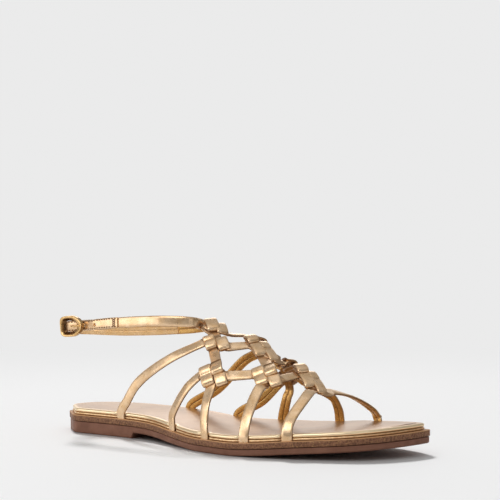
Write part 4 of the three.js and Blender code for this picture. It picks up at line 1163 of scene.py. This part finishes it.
# Stitches along both edges of the hole piece, and a crossed row at its end
def holeStitches():
    walked = walkedAlong(holeLine)
    across = acrossOf(holeLine, holeNormals)
    begin = np.arange(2.0, walked[-1] - stitch["pitch"], stitch["pitch"])

    # The strap's surface at a walked length and a share of half its width
    def at(s, share):
        place = np.stack([np.interp(s, walked, holeLine[:, k]) for k in range(3)], -1)
        side = np.stack([np.interp(s, walked, across[:, k]) for k in range(3)], -1)
        out = unit(np.stack([np.interp(s, walked, holeNormals[:, k]) for k in range(3)], -1))
        thinned = 1 - ankle["endThin"] * np.interp(s, walked, endShare(walked))
        high = ankle["holeThick"] / 2 * (1 - 0.06 * np.abs(share) ** 3) * thinned + stitch["proud"]
        aside = np.reshape(share * strap["width"] / 2, (-1, 1))
        return place + side * aside + out * np.reshape(high, (-1, 1)), out

    share = 1 - stitch["edge"] / (strap["width"] / 2)
    parts = []
    for side in (-1, 1):
        starts, normal = at(begin, np.full_like(begin, side * share))
        ends, _ = at(begin + stitch["long"], np.full_like(begin, side * share))
        parts.append(threads(starts, ends, normal))
    rungs = np.linspace(-share, share, 5)
    back = walked[-1] - stitch["endBack"]
    low = np.where(np.arange(4) % 2 == 0, back, back - stitch["crossLong"])
    high = np.where(np.arange(4) % 2 == 0, back - stitch["crossLong"], back)
    for first, second in ((low, high), (high, low)):
        starts, normal = at(first, rungs[:-1])
        ends, _ = at(second, rungs[1:])
        parts.append(threads(starts, ends, normal))
    return makePiece("hole_stitches", *joined(parts), thread, "straps", [])


holeStitches()
print("stitches made")

# Camera, light and stage
view = {"azimuth": 38.08, "elevation": 6.339, "roll": -0.403, "distance": 1457.957, "scale": 1.708,
        "centre": (232.187, 391.57), "target": (0.846, 4.042, 30.0), "frame": 500, "sensor": 36.0}


# The camera looks at the target from its azimuth and elevation, rolled, with a shifted frame
def placeCamera():
    az, el, roll = (np.radians(view[k]) for k in ("azimuth", "elevation", "roll"))
    back = np.array([np.sin(az) * np.cos(el), -np.cos(az) * np.cos(el), np.sin(el)])
    right = np.array([np.cos(az), np.sin(az), 0])
    up = np.cross(back, right)
    right, up = right * np.cos(roll) + up * np.sin(roll), -right * np.sin(roll) + up * np.cos(roll)
    data = bpy.data.cameras.new("camera")
    data.sensor_width = view["sensor"]
    data.lens = view["sensor"] * view["scale"] * view["distance"] / view["frame"]
    data.shift_x = (view["frame"] / 2 - view["centre"][0]) / view["frame"]
    data.shift_y = (view["centre"][1] - view["frame"] / 2) / view["frame"]
    data.clip_end = 20
    camera = bpy.data.objects.new("camera", data)
    bpy.context.scene.collection.objects.link(camera)
    spot = (np.array(view["target"]) + back * view["distance"]) * millimetre
    turned = np.column_stack([right, up, back, spot])
    camera.matrix_world = Matrix(turned.tolist() + [[0, 0, 0, 1]])
    bpy.context.scene.camera = camera


placeCamera()

studio = {"floor": (0.92, 0.92, 0.92), "paper": (0.83, 0.83, 0.83), "fadeFrom": 0.26, "fadeTo": 0.62,
          "horizon": 0.13, "zenith": 0.52, "sun": 1.9, "sunWide": 10, "sunFrom": (-0.5, 0.45, 0.75),
          "aim": (0, 0, 0.03),
          "lamps": {"frontLeft": {"place": (-1.05, -1.2, 0.6), "size": (1.3, 0.9), "watts": 5.2},
                    "low": {"place": (-0.7, -0.95, 0.13), "size": (1.3, 0.22), "watts": 0.85},
                    "front": {"place": (0.05, -1.15, 1.1), "size": (1.1, 0.8), "watts": 6.5},
                    "right": {"place": (1.5, -0.9, 0.6), "size": (0.6, 0.6), "watts": 0.8},
                    "top": {"place": (0.0, -0.1, 1.4), "size": (0.9, 0.6), "watts": 0.7},
                    "behind": {"place": (-0.9, 1.0, 0.6), "size": (0.7, 0.5), "watts": 2.0}}}


# Floor and backdrop as one sheet: flat, then a quarter circle, then upright, far behind the shoe.
# Near the shoe it takes light and shadow; further off it fades into evenly lit paper
def makeStage():
    depth = np.concatenate([np.linspace(-4, 3, 8), 3 + 1.5 * np.sin(np.linspace(0.15, np.pi / 2, 12)), [4.5]])
    rise = np.concatenate([np.zeros(8), 1.5 - 1.5 * np.cos(np.linspace(0.15, np.pi / 2, 12)), [2.6]])
    az = np.radians(view["azimuth"])
    away, right = np.array([-np.sin(az), np.cos(az)]), np.array([np.cos(az), np.sin(az)])
    wide = np.linspace(-6, 6, 5)
    flat = depth[:, None, None] * away + wide[None, :, None] * right
    points = np.concatenate([flat, np.broadcast_to(rise[:, None, None], (len(depth), len(wide), 1))], -1)
    mesh = bpy.data.meshes.new("backdrop")
    sheet = gridFaces(len(depth), len(wide), False)[:, ::-1]
    mesh.from_pydata(points.reshape(-1, 3).tolist(), [], sheet.tolist())
    mesh.shade_smooth()
    material, tree, shader, place = newMaterial("paperWhite")
    shader.inputs["Base Color"].default_value = (*studio["floor"], 1)
    shader.inputs["Roughness"].default_value = 0.7
    length = tree.nodes.new("ShaderNodeVectorMath")
    length.operation = "LENGTH"
    tree.links.new(place, length.inputs[0])
    fade = tree.nodes.new("ShaderNodeMapRange")
    fade.interpolation_type = "SMOOTHSTEP"
    fade.inputs["From Min"].default_value = studio["fadeFrom"]
    fade.inputs["From Max"].default_value = studio["fadeTo"]
    tree.links.new(length.outputs["Value"], fade.inputs["Value"])
    glow = tree.nodes.new("ShaderNodeEmission")
    glow.inputs["Color"].default_value = (*studio["paper"], 1)
    mix = tree.nodes.new("ShaderNodeMixShader")
    tree.links.new(fade.outputs["Result"], mix.inputs["Fac"])
    tree.links.new(shader.outputs["BSDF"], mix.inputs[1])
    tree.links.new(glow.outputs["Emission"], mix.inputs[2])
    tree.links.new(mix.outputs["Shader"], tree.nodes["Material Output"].inputs["Surface"])
    mesh.materials.append(material)
    piece = bpy.data.objects.new("backdrop", mesh)
    bpy.context.scene.collection.objects.link(piece)


# Soft lamps light the shoe alone and the sun the paper alone; the sky brightens towards the zenith
def placeLamps():
    paper = bpy.data.collections.new("paperLit")
    paper.objects.link(bpy.data.objects["backdrop"])
    lit = bpy.data.collections.new("lampLit")
    for item in bpy.context.scene.objects:
        if item.type == "MESH" and item.name != "backdrop":
            lit.objects.link(item)
    for name, lamp in studio["lamps"].items():
        data = bpy.data.lights.new(name, "AREA")
        data.shape = "RECTANGLE"
        data.size, data.size_y = lamp["size"]
        data.energy = lamp["watts"]
        item = bpy.data.objects.new(name, data)
        item.location = lamp["place"]
        towards = Vector(studio["aim"]) - Vector(lamp["place"])
        item.rotation_euler = towards.to_track_quat("-Z", "Y").to_euler()
        bpy.context.scene.collection.objects.link(item)
        item.light_linking.receiver_collection = lit
        item.visible_camera = False
    data = bpy.data.lights.new("wide", "SUN")      # even light from behind, for the paper alone
    data.energy, data.angle = studio["sun"], np.radians(studio["sunWide"])
    item = bpy.data.objects.new("wide", data)
    item.rotation_euler = Vector(studio["sunFrom"]).to_track_quat("Z", "Y").to_euler()
    bpy.context.scene.collection.objects.link(item)
    item.light_linking.receiver_collection = paper
    world = bpy.data.worlds.new("studio")
    world.use_nodes = True
    tree = world.node_tree
    direction = tree.nodes.new("ShaderNodeTexCoord").outputs["Generated"]
    split = tree.nodes.new("ShaderNodeSeparateXYZ")
    tree.links.new(direction, split.inputs["Vector"])
    rise = tree.nodes.new("ShaderNodeMapRange")
    rise.inputs["To Min"].default_value = studio["horizon"]
    rise.inputs["To Max"].default_value = studio["zenith"]
    tree.links.new(split.outputs["Z"], rise.inputs["Value"])
    tree.links.new(rise.outputs["Result"], tree.nodes["Background"].inputs["Strength"])
    tree.nodes["Background"].inputs["Color"].default_value = (1, 1, 1, 1)
    seen = tree.nodes.new("ShaderNodeBackground")       # above the sheet's edge the camera sees plain paper
    seen.inputs["Color"].default_value = (*studio["paper"], 1)
    mix = tree.nodes.new("ShaderNodeMixShader")
    tree.links.new(tree.nodes.new("ShaderNodeLightPath").outputs["Is Camera Ray"], mix.inputs["Fac"])
    tree.links.new(tree.nodes["Background"].outputs["Background"], mix.inputs[1])
    tree.links.new(seen.outputs["Background"], mix.inputs[2])
    tree.links.new(mix.outputs["Shader"], tree.nodes["World Output"].inputs["Surface"])
    bpy.context.scene.world = world


makeStage()
placeLamps()
bpy.context.scene.view_settings.view_transform = "Standard"
print("stage set")

bpy.context.view_layer.update()
